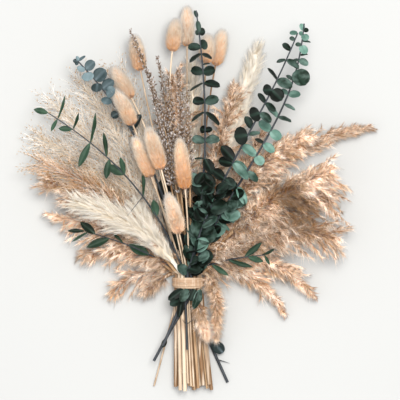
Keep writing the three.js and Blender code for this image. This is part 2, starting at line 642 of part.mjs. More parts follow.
// Balls over the blade of a leaf, leaving out its foot.
function leafBalls({ base, end, facing, width }) {
  const along = end.clone().sub(base);
  const across = along.clone().cross(facing).normalize();
  const balls = [];
  const rows = Math.max(3, Math.ceil(along.length() / 3));
  for (let row = 1; row <= rows; row++) {
    const u = row / rows;
    const half = 0.5 * width * leafWidth(u, 1.6);
    const columns = Math.ceil((2 * half) / 3);
    for (let c = 0; c <= columns; c++) {
      const share = columns ? c / columns - 0.5 : 0;
      const at = base.clone().addScaledVector(along, u).addScaledVector(across, share * 2 * half);
      balls.push({ at, r: 0.9 });
    }
  }
  return balls;
}

// The pairs of round leaves on a eucalyptus branch, each pair turned a quarter from the
// last, as they grow. A leaf in the way of another stalk swings round or shortens.
function pairedLeaves(route) {
  const { first, last, step, long, short, turn } = route.pairs;
  const leaves = [];
  const count = Math.floor((last - first) / step);
  for (let n = 0; n <= count; n++) {
    const u = n / count;
    const at = route.below + (first + n * step) / spacing.step;
    const size = mix(long, short, u * u);
    for (const half of [0, 180]) {
      const draw = (chance(route.index + 1, 2 * n + half) - 0.5) * 24;
      const leaf = fitLeaf(route, at, turn + 90 * (n % 2) + half + draw, size);
      if (leaf) leaves.push(leaf);
    }
  }
  return leaves;
}

function fitLeaf(route, at, angle, size) {
  const { broad, lean, open } = route.pairs;
  const { point, ahead, side, above } = station(route, Math.min(at, route.points.length - 1.01));
  for (const scale of [1, 0.8, 0.62])
    for (const swing of [0, 18, -18, 36, -36, 54, -54]) {
      const turned = radians(angle + swing);
      const outward = side.clone().multiplyScalar(Math.cos(turned)).addScaledVector(above, Math.sin(turned));
      const way = outward.clone()
        .multiplyScalar(Math.cos(radians(lean)))
        .addScaledVector(ahead, Math.sin(radians(lean)));
      const leaf = {
        base: point.clone(), end: point.clone().addScaledVector(way, size * scale),
        facing: ahead.clone().addScaledVector(up, Math.tan(radians(open))),
        width: size * scale * broad, cup: 0.16, fullness: 2, thickness: 1.3,
      };
      const balls = leafBalls(leaf);
      if (balls.every((ball) => ball.at.z > 1) && isClear(route.name, balls)) {
        take(route.name, balls);
        return leaf;
      }
    }
  return null;
}

// The leaves and twigs that are placed one by one: from x, y to x, y, width, roll and lift.
function placedLeaves(route) {
  const leaves = [];
  for (const [fromX, fromY, toX, toY, width, roll, lift] of route.blades ?? []) {
    const near = nearestPoint(route, fromX, fromY);
    for (const raise of [0, 4, 8, -4, 12]) {
      const end = new THREE.Vector3(toX, toY, Math.max(2, near.z + lift + raise));
      const along = end.clone().sub(near).normalize();
      const facing = up.clone().applyAxisAngle(along, radians(roll));
      const isTwig = width < 3;
      const isRound = route.kind === "dollarLeaf";
      const leaf = {
        base: near, end, facing, width, cup: isRound ? 0.14 : 0.08,
        fullness: isTwig ? 4 : isRound ? 2 : 1.3, thickness: isTwig ? 1.2 : 1.3,
      };
      const balls = leafBalls(leaf).slice(2);
      if (isClear(route.name, balls)) {
        take(route.name, balls);
        leaves.push(leaf);
        break;
      }
    }
  }
  return leaves;
}

function nearestPoint(route, x, y) {
  return route.points.reduce((best, p) =>
    Math.hypot(p.x - x, p.y - y) < Math.hypot(best.x - x, best.y - y) ? p : best).clone();
}

// Closed solids, joined.
function solid(geometry) {
  const bare = geometry.clone();
  bare.deleteAttribute("normal");
  bare.deleteAttribute("uv");
  const merged = mergeVertices(bare, 1e-4);
  const made = new wasm.Manifold(new wasm.Mesh({
    numProp: 3,
    vertProperties: new Float32Array(merged.getAttribute("position").array),
    triVerts: new Uint32Array(merged.index.array),
  }));
  return made;
}

function largest(made) {
  return made.decompose().reduce((a, b) => (b.volume() > a.volume() ? b : a));
}

function leafyBranch(route) {
  const kind = kinds[route.kind];
  const last = route.points.length - 1;
  const taper = (at) => mix(kind.stalk, kind.core * 0.7, Math.max(0, (at - route.below) / (last - route.below)));
  let made = solid(tube(route, 0, last, 5, taper));
  for (const leaf of [...(route.pairs ? pairedLeaves(route) : []), ...placedLeaves(route)])
    made = made.add(solid(leafShape(leaf)));
  return largest(made);
}

// The tie: a ring with rounded strands side by side, cut flat where it lies on the table.
function tieRing() {
  const inner = tie.halfWidth - tie.wall;
  const profile = [new THREE.Vector2(inner, -tie.band / 2)];
  const steps = tie.strands * 2;
  for (let n = 0; n <= steps; n++) {
    const radius = n % 2 ? tie.halfWidth : tie.halfWidth - tie.ridge;
    profile.push(new THREE.Vector2(radius, mix(-tie.band / 2, tie.band / 2, n / steps)));
  }
  profile.push(new THREE.Vector2(inner, tie.band / 2), profile[0].clone());
  const ring = new THREE.LatheGeometry(profile, 26);
  ring.scale(1, 1, tie.halfHeight / tie.halfWidth);
  ring.translate(0, 0, tieHeight);
  const table = new THREE.BoxGeometry(200, 60, 40).translate(0, 0, -20);
  return solid(ring).subtract(solid(table));
}

// Puts a solid into the group as a mesh that is modelled round its own anchor point.
function place(group, name, made, anchor, kind) {
  const data = made.getMesh();
  const positions = [];
  for (let v = 0; v < data.numVert; v++) {
    const at = v * data.numProp;
    positions.push(
      data.vertProperties[at] - anchor.x,
      data.vertProperties[at + 1] - anchor.y,
      data.vertProperties[at + 2] - anchor.z,
    );
  }
  const geometry = new THREE.BufferGeometry()
    .setAttribute("position", new THREE.Float32BufferAttribute(positions, 3))
    .setIndex([...data.triVerts]);
  geometry.computeVertexNormals();
  const { colour: color, roughness } = kind;
  const material = new THREE.MeshStandardMaterial({ color, roughness, metalness: 0 });
  const mesh = new THREE.Mesh(geometry, material);
  mesh.name = name;
  mesh.position.copy(anchor);
  group.add(mesh);
}

const bunch = new THREE.Group();
const slots = packSlots();
const routes = stalks.map((stalk, index) => firstRoute(stalk, index, slots[index]));
settle(routes);
// The hairs of a pampas plume reach past the end of its stem, so that ends short of the tip.
for (const route of routes) route.points.length -= Math.round((route.trim ?? 0) / spacing.step);

for (const route of routes)
  for (let k = 0; k + 1 < route.points.length; k++) {
    const isHead = k >= route.headStart && heads[route.kind];
    const kind = kinds[route.kind];
    const radius = isHead ? Math.min(route.girth[k], kind.core) : kind.stalk;
    take(route.name, taperBalls(route.points[k], route.points[k + 1], radius, radius));
  }

const leafy = routes.filter((route) => !heads[route.kind]);
const growOrder = ["bunnyTail", "spike", "pampas", "reed", "airy"];
const bristled = growOrder.flatMap((kind) => routes.filter((route) => route.kind === kind));
const anchorOf = (route) => route.points[route.below];

for (const route of leafy) place(bunch, route.name, leafyBranch(route), anchorOf(route), kinds[route.kind]);
for (const route of bristled)
  place(bunch, route.name, solid(bristledSurface(route)), anchorOf(route), kinds[route.kind]);
place(bunch, "tie", tieRing(), new THREE.Vector3(0, 0, tieHeight), { colour: 0xdcb384, roughness: 0.85 });

export default bunch;
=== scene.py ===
import math

import bpy
import numpy as np
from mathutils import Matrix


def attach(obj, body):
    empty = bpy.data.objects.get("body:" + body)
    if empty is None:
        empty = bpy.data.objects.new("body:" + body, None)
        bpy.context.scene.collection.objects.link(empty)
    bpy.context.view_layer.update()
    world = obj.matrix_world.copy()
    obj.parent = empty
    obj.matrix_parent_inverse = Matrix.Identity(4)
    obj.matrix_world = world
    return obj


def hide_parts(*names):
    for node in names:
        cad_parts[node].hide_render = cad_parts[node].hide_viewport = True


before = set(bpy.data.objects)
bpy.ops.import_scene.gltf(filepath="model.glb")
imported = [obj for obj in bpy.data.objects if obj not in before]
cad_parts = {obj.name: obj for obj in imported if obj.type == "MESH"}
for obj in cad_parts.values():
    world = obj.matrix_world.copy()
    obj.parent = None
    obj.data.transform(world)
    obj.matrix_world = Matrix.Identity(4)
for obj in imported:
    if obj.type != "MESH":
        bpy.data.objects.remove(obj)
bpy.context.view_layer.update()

mm = 0.001
up = np.array([0.0, 0.0, 1.0])


# camera, table and light

view = {"centre": (13.2, 91.3), "middleHeight": 45.0, "distance": 2960.0, "field": 440.0, "sensor": 36}
tabletop = {"size": 8, "dark": "#bebfbd", "pale": "#c2c3c1", "patchesPerMetre": 1.6}
studio = {  # places in metres
    "worldStrength": 0.67, "worldColour": "#fbfbff", "lampColour": (1.0, 0.985, 0.965),
    "aim": (0.013, 0.09, 0.03),
    "keyPower": 65.0, "keySize": 0.9, "keyFrom": (0.22, 0.45, 2.35),
    "fillPower": 6.0, "fillSize": 1.6, "fillFrom": (-0.9, -0.5, 1.9),
}


def linearColour(hexCode):
    parts = [int(hexCode[at:at + 2], 16) / 255 for at in (1, 3, 5)]
    return [p / 12.92 if p <= 0.04045 else ((p + 0.055) / 1.055) ** 2.4 for p in parts] + [1.0]


def addNode(tree, kind, inputs={}, **settings):
    node = tree.nodes.new("ShaderNode" + kind)
    for name, value in settings.items():
        setattr(node, name, value)
    for socket, value in inputs.items():
        if isinstance(value, bpy.types.NodeSocket):
            tree.links.new(value, node.inputs[socket])
        else:
            node.inputs[socket].default_value = value
    return node


def startMaterial(name, **sockets):
    material = bpy.data.materials.new(name)
    material.use_nodes = True
    tree = material.node_tree
    shader = tree.nodes["Principled BSDF"]
    for socket, value in sockets.items():
        shader.inputs[socket.replace("_", " ")].default_value = value
    return material, tree, shader


def placeCamera():
    x, y = view["centre"]
    bpy.ops.object.camera_add(location=(x * mm, y * mm, (view["middleHeight"] + view["distance"]) * mm))
    camera = bpy.context.object
    camera.name = "cameraAbove"
    camera.data.sensor_width = view["sensor"]
    camera.data.lens = view["sensor"] * view["distance"] / view["field"]
    bpy.context.scene.camera = camera


def addSoftLight(name, place, power, size):
    bpy.ops.object.light_add(type="AREA", location=place)
    light = bpy.context.object
    light.name = name
    light.data.energy = power
    light.data.size = size
    light.data.color = studio["lampColour"]
    aim = np.array(studio["aim"]) - np.array(place)
    flat = math.hypot(aim[0], aim[1])
    light.rotation_euler = (math.atan2(flat, -aim[2]), 0, math.atan2(aim[1], aim[0]) - math.pi / 2)


def layTable():
    bpy.ops.mesh.primitive_plane_add(size=tabletop["size"], location=(0, 0, 0))
    table = bpy.context.object
    table.name = "paleTable"
    # matt white paint: an even, slightly warm white without gloss
    material, tree, shader = startMaterial("mattWhitePaint", Roughness=0.9, Specular_IOR_Level=0.15)
    place = addNode(tree, "TexCoord").outputs["Object"]
    cloud = addNode(tree, "TexNoise", {"Vector": place, "Scale": tabletop["patchesPerMetre"],
                                       "Detail": 1.0}).outputs[0]
    mixed = addNode(tree, "Mix", {0: cloud, 6: linearColour(tabletop["dark"]),
                                  7: linearColour(tabletop["pale"])}, data_type="RGBA")
    tree.links.new(mixed.outputs[2], shader.inputs["Base Color"])
    table.data.materials.append(material)


def lightStudio():
    world = bpy.data.worlds.new("studio")
    world.use_nodes = True
    sky = world.node_tree.nodes["Background"]
    sky.inputs["Color"].default_value = linearColour(studio["worldColour"])
    sky.inputs["Strength"].default_value = studio["worldStrength"]
    bpy.context.scene.world = world
    addSoftLight("keyLight", studio["keyFrom"], studio["keyPower"], studio["keySize"])
    addSoftLight("fillLight", studio["fillFrom"], studio["fillPower"], studio["fillSize"])
    bpy.context.scene.view_settings.view_transform = "Standard"


placeCamera()
layTable()
lightStudio()
print("camera, table and lights are set")


# where every stalk runs, worked out as in the solids

tie = {"halfWidth": 18.4, "halfHeight": 16.0, "wall": 2.6, "band": 13.0, "flatten": 0.5}
tieHeight = tie["halfHeight"] - tie["flatten"]
# the circles of the stalks inside the tie, which a pull draws together at first
packing = {"gap": 0.6, "rounds": 900, "pull": 0.01, "pullShare": 0.6, "wallGap": 0.45, "fill": 0.84}
# the first run of each stalk: how it climbs, where it is cut off below, and how its bends are rounded
running = {"step": 4, "held": 10, "soften": 14, "climb": 1.4, "lift": 0.12, "swellOver": 4,
           "cutLength": 116, "cutSpread": 1.5, "cutShift": 6, "cutJitter": 9}
# how the stalks push each other apart, with the higher tip over the lower one
settling = {"gap": 1.0, "rounds": 700, "refresh": 10, "watch": 5, "sideShare": 0.5, "orderBias": 0.4,
            "earlyRounds": 80, "leastRounds": 100, "push": 0.25, "ease": 0.05, "slack": 0.3,
            "offTable": 0.1, "tieEdge": 0.6, "tieClear": 0.8}

# stalk radius, core of the head, and the room that the head takes
kinds = {
    "reed": (2.05, 3.2, 5.2), "pampas": (2.2, 4.2, 7.0), "bunnyTail": (0.9, 6.4, 8.6),
    "spike": (1.0, 1.3, 3.4), "airy": (1.0, 1.3, 2.2), "dollarLeaf": (1.6, 1.1, 2.6),
    "willowLeaf": (1.2, 0.8, 1.4),
}

leafKinds = ("dollarLeaf", "willowLeaf")

# name, kind, tip of the head, way out of the tie and way at the tip in degrees, head length, spread
stalks = [
    ("reed_left_band", "reed", (-168, 113, 30), -38, -82, 150, 26),
    ("reed_left_low", "reed", (-158, 74, 17), -44, -86, 130, 24),
    ("reed_left_droop", "reed", (-128, 30, 12), -50, -108, 110, 24),
    ("reed_left_hang", "reed", (-82, -8, 10), -50, -138, 90, 24),
    ("reed_left_short", "reed", (-48, -12, 16), -52, -150, 60, 16),
    ("reed_right_high", "reed", (146, 174, 44), 20, 66, 150, 26),
    ("reed_right_top", "reed", (206, 171, 13), 28, 90, 180, 26),
    ("reed_right_upper", "reed", (184, 132, 56), 36, 76, 150, 26),
    ("reed_right_middle", "reed", (188, 98, 24), 42, 92, 150, 26),
    ("reed_right_droop", "reed", (190, 38, 40), 46, 126, 160, 27),
    ("reed_right_low", "reed", (139, -14, 15), 48, 152, 140, 25),
    ("reed_right_hang", "reed", (106, -34, 13), 50, 160, 110, 20),
    ("reed_back_middle", "reed", (56, 230, 22), 9, 14, 120, 22),
    ("reed_back_left", "reed", (-14, 244, 26), -6, 0, 110, 18),
    ("reed_under_tie", "reed", (30, -68, 26), 58, 184, 60, 6),
    ("pampas_front", "pampas", (-140, 94, 66), -28, -76, 160, 26),
    ("pampas_back_right", "pampas", (79, 266, 11), 15, 16, 150, 24),
    ("pampas_back_middle", "pampas", (4, 246, 13), 4, -2, 130, 22),
    ("airy_top", "airy", (-80, 236, 15), -14, -24, 150, 54),
    ("airy_upper", "airy", (-122, 226, 24), -22, -38, 160, 56),
    ("airy_middle", "airy", (-153, 202, 32), -28, -52, 165, 56),
    ("airy_side", "airy", (-172, 164, 15), -32, -68, 160, 52),
    ("airy_low", "airy", (-172, 134, 42), -36, -78, 150, 50),
    ("bunny_top", "bunnyTail", (-1, 302, 17), -1, 0, 38, 0),
    ("bunny_top_left", "bunnyTail", (-13, 287, 34), -6, 12, 31, 0),
    ("bunny_top_right", "bunnyTail", (38, 276, 16), 8, 15, 34, 0),
    ("bunny_right", "bunnyTail", (22, 270, 34), 5, 4, 28, 0),
    ("bunny_left_top", "bunnyTail", (-59, 269, 36), -12, -10, 36, 0),
    ("bunny_left_upper", "bunnyTail", (-81, 234, 42), -14, -38, 36, 0),
    ("bunny_left", "bunnyTail", (-79, 208, 62), -18, -33, 40, 0),
    ("bunny_low_left", "bunnyTail", (-57, 156, 72), -16, -27, 44, 0),
    ("bunny_low", "bunnyTail", (-42, 166, 86), -10, -20, 44, 0),
    ("bunny_middle", "bunnyTail", (-9, 154, 86), 1, -9, 52, 0),
    ("bunny_front", "bunnyTail", (-21, 94, 76), -5, -19, 44, 0),
    ("spike_far_left", "spike", (-63, 276, 56), -6, -27, 170, 0),
    ("spike_left", "spike", (-44, 232, 62), -8, -14, 130, 0),
    ("spike_middle", "spike", (-33, 248, 50), -5, -9, 150, 0),
    ("spike_inner", "spike", (-22, 226, 66), -4, -6, 130, 0),
    ("spike_right", "spike", (-11, 234, 54), -2, -4, 140, 0),
    ("spike_far_right", "spike", (-1, 210, 66), 0, -2, 110, 0),
    ("eucalyptus_middle", "dollarLeaf", (9, 297, 84), 11, -9, 300, 0),
    ("eucalyptus_right_inner", "dollarLeaf", (119, 272, 90), 12, 20, 300, 0),
    ("eucalyptus_right_outer", "dollarLeaf", (127, 284, 66), 20, 0, 300, 0),
    ("eucalyptus_left", "dollarLeaf", (-123, 246, 58), -13, -47, 130, 0),
    ("sprig_left_upper", "willowLeaf", (-152, 186, 74), -20, -60, 40, 0),
    ("sprig_left_low", "willowLeaf", (-114, 57, 34), -48, -76, 30, 0),
    ("sprig_right", "willowLeaf", (84, 31, 56), 44, 84, 30, 0),
]
# stems that are cut off somewhere else than the rest
cutEnds = {
    "airy_side": (-38, -116, 4), "eucalyptus_right_inner": (-28, -70, 30),
    "eucalyptus_right_outer": (-38, -87, 24), "eucalyptus_left": (44, -112, 4),
    "sprig_left_upper": (-1, -74, 33),
}
# by how much the hairs reach past the end of a stem
trims = {"pampas_front": 20, "pampas_back_right": 12, "pampas_back_middle": 8}
# by how much a stalk counts as higher, or lower, when the circles in the tie are ordered
rankedOver = {
    "eucalyptus_right_inner": 40, "eucalyptus_right_outer": 50, "eucalyptus_left": -90,
    "sprig_left_upper": 20,
}


def unit(vectors):
    return vectors / np.maximum(np.linalg.norm(vectors, axis=-1, keepdims=True), 1e-9)


def chance(seed, count):
    value = math.sin(seed * 127.1 + count * 311.7) * 43758.5453
    return value - math.floor(value)


def packSlots():
    insideX = tie["halfWidth"] - tie["wall"] - packing["wallGap"]
    insideZ = tie["halfHeight"] - tie["wall"] - packing["wallGap"]

    def rank(values):
        order = sorted(range(len(values)), key=lambda i: (values[i], i))
        places = {i: place / (len(values) - 1) for place, i in enumerate(order)}
        return [places[i] for i in range(len(values))]

    across = rank([stalk[3] for stalk in stalks])
    high = rank([stalk[2][2] + rankedOver.get(stalk[0], 0) for stalk in stalks])
    xs, zs, radii = [], [], []
    for i, stalk in enumerate(stalks):
        x = packing["fill"] * math.sin(math.pi * (across[i] - 0.5))
        z = packing["fill"] * (2 * high[i] - 1) * math.sqrt(1 - x * x)
        xs.append(x * insideX)
        zs.append(z * insideZ)
        radii.append(kinds[stalk[1]][0])
    count = len(stalks)
    for turn in range(packing["rounds"]):
        pull = 1 - packing["pull"] if turn < packing["rounds"] * packing["pullShare"] else 1
        for a in range(count):
            xs[a] *= pull
            zs[a] *= pull
            for b in range(a + 1, count):
                need = radii[a] + radii[b] + packing["gap"]
                dx, dz = xs[a] - xs[b], zs[a] - zs[b]
                if abs(dx) >= need or abs(dz) >= need:
                    continue
                distance = math.hypot(dx, dz) or 1e-6
                if distance < need:
                    push = (need - distance) * 0.5 / distance
                    xs[a] += dx * push
                    zs[a] += dz * push
                    xs[b] -= dx * push
                    zs[b] -= dz * push
        for a in range(count):
            share = math.hypot(xs[a] / (insideX - radii[a]), zs[a] / (insideZ - radii[a]))
            if share > 1:
                xs[a] /= share
                zs[a] /= share
    shares = [math.hypot(xs[a] / (insideX - radii[a]), zs[a] / (insideZ - radii[a])) for a in range(count)]
    grow = min(1 / max(0.01, share) for share in shares)
    return [np.array([xs[a] * grow, 0, tieHeight + zs[a] * grow]) for a in range(count)]


def evenlyAlong(p0, p1, p2, p3):
    # points a step apart along one cubic bend
    def cubic(t):
        t = t[:, None]
        return p0 * (1 - t) ** 3 + p1 * 3 * (1 - t) ** 2 * t + p2 * 3 * (1 - t) * t ** 2 + p3 * t ** 3
    fine = np.linspace(0, 1, 201)
    lengths = np.concatenate([[0], np.cumsum(np.linalg.norm(np.diff(cubic(fine), axis=0), axis=1))])
    count = math.floor(lengths[-1] / running["step"] + 0.5)
    return cubic(np.interp(np.linspace(0, lengths[-1], count + 1), lengths, fine))


def firstRoute(index, slot):
    name, kind, tip, leave, arrive, headLength, spread = stalks[index]
    stalkRadius, _, room = kinds[kind]
    tip = np.array(tip, float)
    held, lift = running["held"], running["lift"]
    top = slot + [0, held, 0]
    reach = np.linalg.norm(top - tip)
    swing = 1 / math.cos(math.radians(arrive - leave) / 4) ** 2
    climb = running["climb"] * (tip[2] - slot[2]) / reach + lift

    def heading(angle, rise):
        turned = math.radians(angle)
        return np.array([math.sin(turned), math.cos(turned), rise]) * reach * swing / 3

    above = evenlyAlong(top, top + heading(leave, climb), tip - heading(arrive, -lift), tip)
    if name in cutEnds:
        cut = np.array(cutEnds[name], float)
    else:
        cut = np.array([slot[0] * running["cutSpread"] + running["cutShift"],
                        -running["cutLength"] + running["cutJitter"] * (chance(index, 2) - 0.5),
                        max(stalkRadius, slot[2] - tie["wall"] + tie["flatten"])])
    foot = slot - [0, held, 0]
    count = math.floor(np.linalg.norm(cut - foot) / running["step"] + 0.5)
    below = [cut + (foot - cut) * k / count for k in range(count)]
    inTie = [slot + [0, share * held, 0] for share in (-1, -0.5, 0, 0.5)]
    points = np.array(below + inTie + list(above))
    last = len(points) - 1
    free = np.abs(np.arange(1, last) - count - 2) > 2
    for _ in range(running["soften"]):  # rounds off the bend where the stalk leaves the tie
        middle = 0.5 * points[1:-1] + 0.25 * (points[:-2] + points[2:])
        points[1:-1][free] = middle[free]
    headStart = max(count + 8, last - math.floor(headLength / running["step"] + 0.5))
    k = np.arange(last + 1)
    swell = np.minimum(np.minimum(1, (last - k) / running["swellOver"]),
                       np.minimum(1, (k - headStart) / running["swellOver"]))
    girth = np.where(k <= headStart, stalkRadius, stalkRadius + (room - stalkRadius) * swell)
    return {"name": name, "kind": kind, "index": index, "points": points, "girth": girth, "tip": tip,
            "below": count + 2, "headStart": headStart, "spread": spread}


def settle(routes):
    # pushes the stalks apart until none is closer to another than the gap
    points = np.concatenate([route["points"] for route in routes])
    girth = np.concatenate([route["girth"] for route in routes])
    counts = [len(route["points"]) for route in routes]
    starts = np.concatenate([[0], np.cumsum(counts)])
    inRoute = np.concatenate([np.arange(count) for count in counts])
    held = np.abs(inRoute - np.repeat([route["below"] for route in routes], counts)) <= 2
    tipHeight = np.repeat([route["tip"][2] for route in routes], counts)
    isFirst = inRoute == 0
    isLast = np.zeros(len(points), bool)
    isLast[starts[1:] - 1] = True
    before = np.arange(len(points)) - ~isFirst
    after = np.arange(len(points)) + ~isLast
    inner = ~isFirst & ~isLast & ~held
    for turn in range(settling["rounds"]):
        if turn % settling["refresh"] == 0:
            firsts, seconds = [], []
            for r in range(len(routes) - 1):
                own, others = slice(starts[r], starts[r + 1]), slice(starts[r + 1], len(points))
                room = girth[own][:, None] + girth[others][None] + settling["gap"] + settling["watch"]
                dx = points[own, 0][:, None] - points[others, 0][None]
                a, b = np.nonzero(np.abs(dx) < room)
                a, b, room = a + starts[r], b + starts[r + 1], room[a, b]
                close = np.linalg.norm(points[a] - points[b], axis=1) < room
                firsts.append(a[close])
                seconds.append(b[close])
            firsts, seconds = np.concatenate(firsts), np.concatenate(seconds)
            need = girth[firsts] + girth[seconds] + settling["gap"]
            order = np.sign(tipHeight[firsts] - tipHeight[seconds])
            order[order == 0] = 1
            bothHeld = held[firsts] & held[seconds]
        early = max(0, 1 - turn / settling["earlyRounds"])
        between = points[firsts] - points[seconds]
        distance = np.linalg.norm(between, axis=1)
        lacking = need - distance
        short = lacking > 0
        way = between[short] / np.maximum(distance[short], 1e-6)[:, None]
        way[:, 2] += order[short] * settling["orderBias"] * early
        way[:, :2] *= 1 + (settling["sideShare"] - 1) * early
        way = unit(way) * (lacking[short] * settling["push"])[:, None]
        moves = np.stack([
            np.bincount(firsts[short], way[:, axis], len(points))
            - np.bincount(seconds[short], way[:, axis], len(points)) for axis in range(3)], axis=1)
        step = 0.25 * (2 * moves + moves[before] + moves[after])
        ease = settling["ease"] * (0.5 * (points[before] + points[after]) - points)
        moved = points + step + np.where(inner[:, None], ease, 0)
        moved[:, 2] = np.maximum(moved[:, 2], girth + settling["offTable"])
        edge, clear = tie["band"] / 2 + girth + settling["tieEdge"], girth + settling["tieClear"]
        share = np.hypot(moved[:, 0] / (tie["halfWidth"] + clear),
                         (moved[:, 2] - tieHeight) / (tie["halfHeight"] + clear))
        inWall = (share < 1) & (np.abs(moved[:, 1]) < edge)
        moved[inWall, 1] = np.where(moved[inWall, 1] < 0, -edge[inWall], edge[inWall])
        points = np.where(held[:, None], points, moved)
        worst = np.max(lacking[short & ~bothHeld], initial=0)
        if worst < settling["slack"] and turn > settling["leastRounds"]:
            break
    for r, route in enumerate(routes):
        route["points"] = points[starts[r]:starts[r + 1]]
    return turn


def station(route, at):
    # places on a stalk, with the ways along it, sideways and up
    points = route["points"]
    last = len(points) - 1
    at = np.atleast_1d(np.asarray(at, float))
    low = np.clip(at.astype(int), 0, last - 1)
    share = (at - low)[:, None]
    point = points[low] * (1 - share) + points[low + 1] * share
    ahead = unit(points[np.minimum(last, low + 2)] - points[np.maximum(0, low - 1)])
    side = unit(np.cross(ahead, up))
    return point, ahead, side, np.cross(side, ahead)


slots = packSlots()
routes = [firstRoute(index, slots[index]) for index in range(len(stalks))]
roundsUsed = settle(routes)
for route in routes:
    cutOff = trims.get(route["name"], 0) // running["step"]
    if cutOff:
        route["points"], route["girth"] = route["points"][:-cutOff], route["girth"][:-cutOff]
print("stalks are laid out after", roundsUsed, "rounds")


# leaves grow where there is room, by the same rules as in the solids

# pairs of leaves along a branch: lengths in millimetres, and angles in degrees
pairs = {
    "eucalyptus_middle": {"first": 10, "last": 106, "step": 16, "long": 21, "short": 18, "broad": 0.9,
                          "turn": 0, "lean": 12, "open": 32},
    "eucalyptus_right_inner": {"first": 16, "last": 110, "step": 18.5, "long": 23, "short": 19,
                               "broad": 0.98, "turn": 20, "lean": 34, "open": 50},
    "eucalyptus_right_outer": {"first": 24, "last": 62, "step": 18.5, "long": 22, "short": 19,
                               "broad": 0.94, "turn": 10, "lean": 40, "open": 55},
}
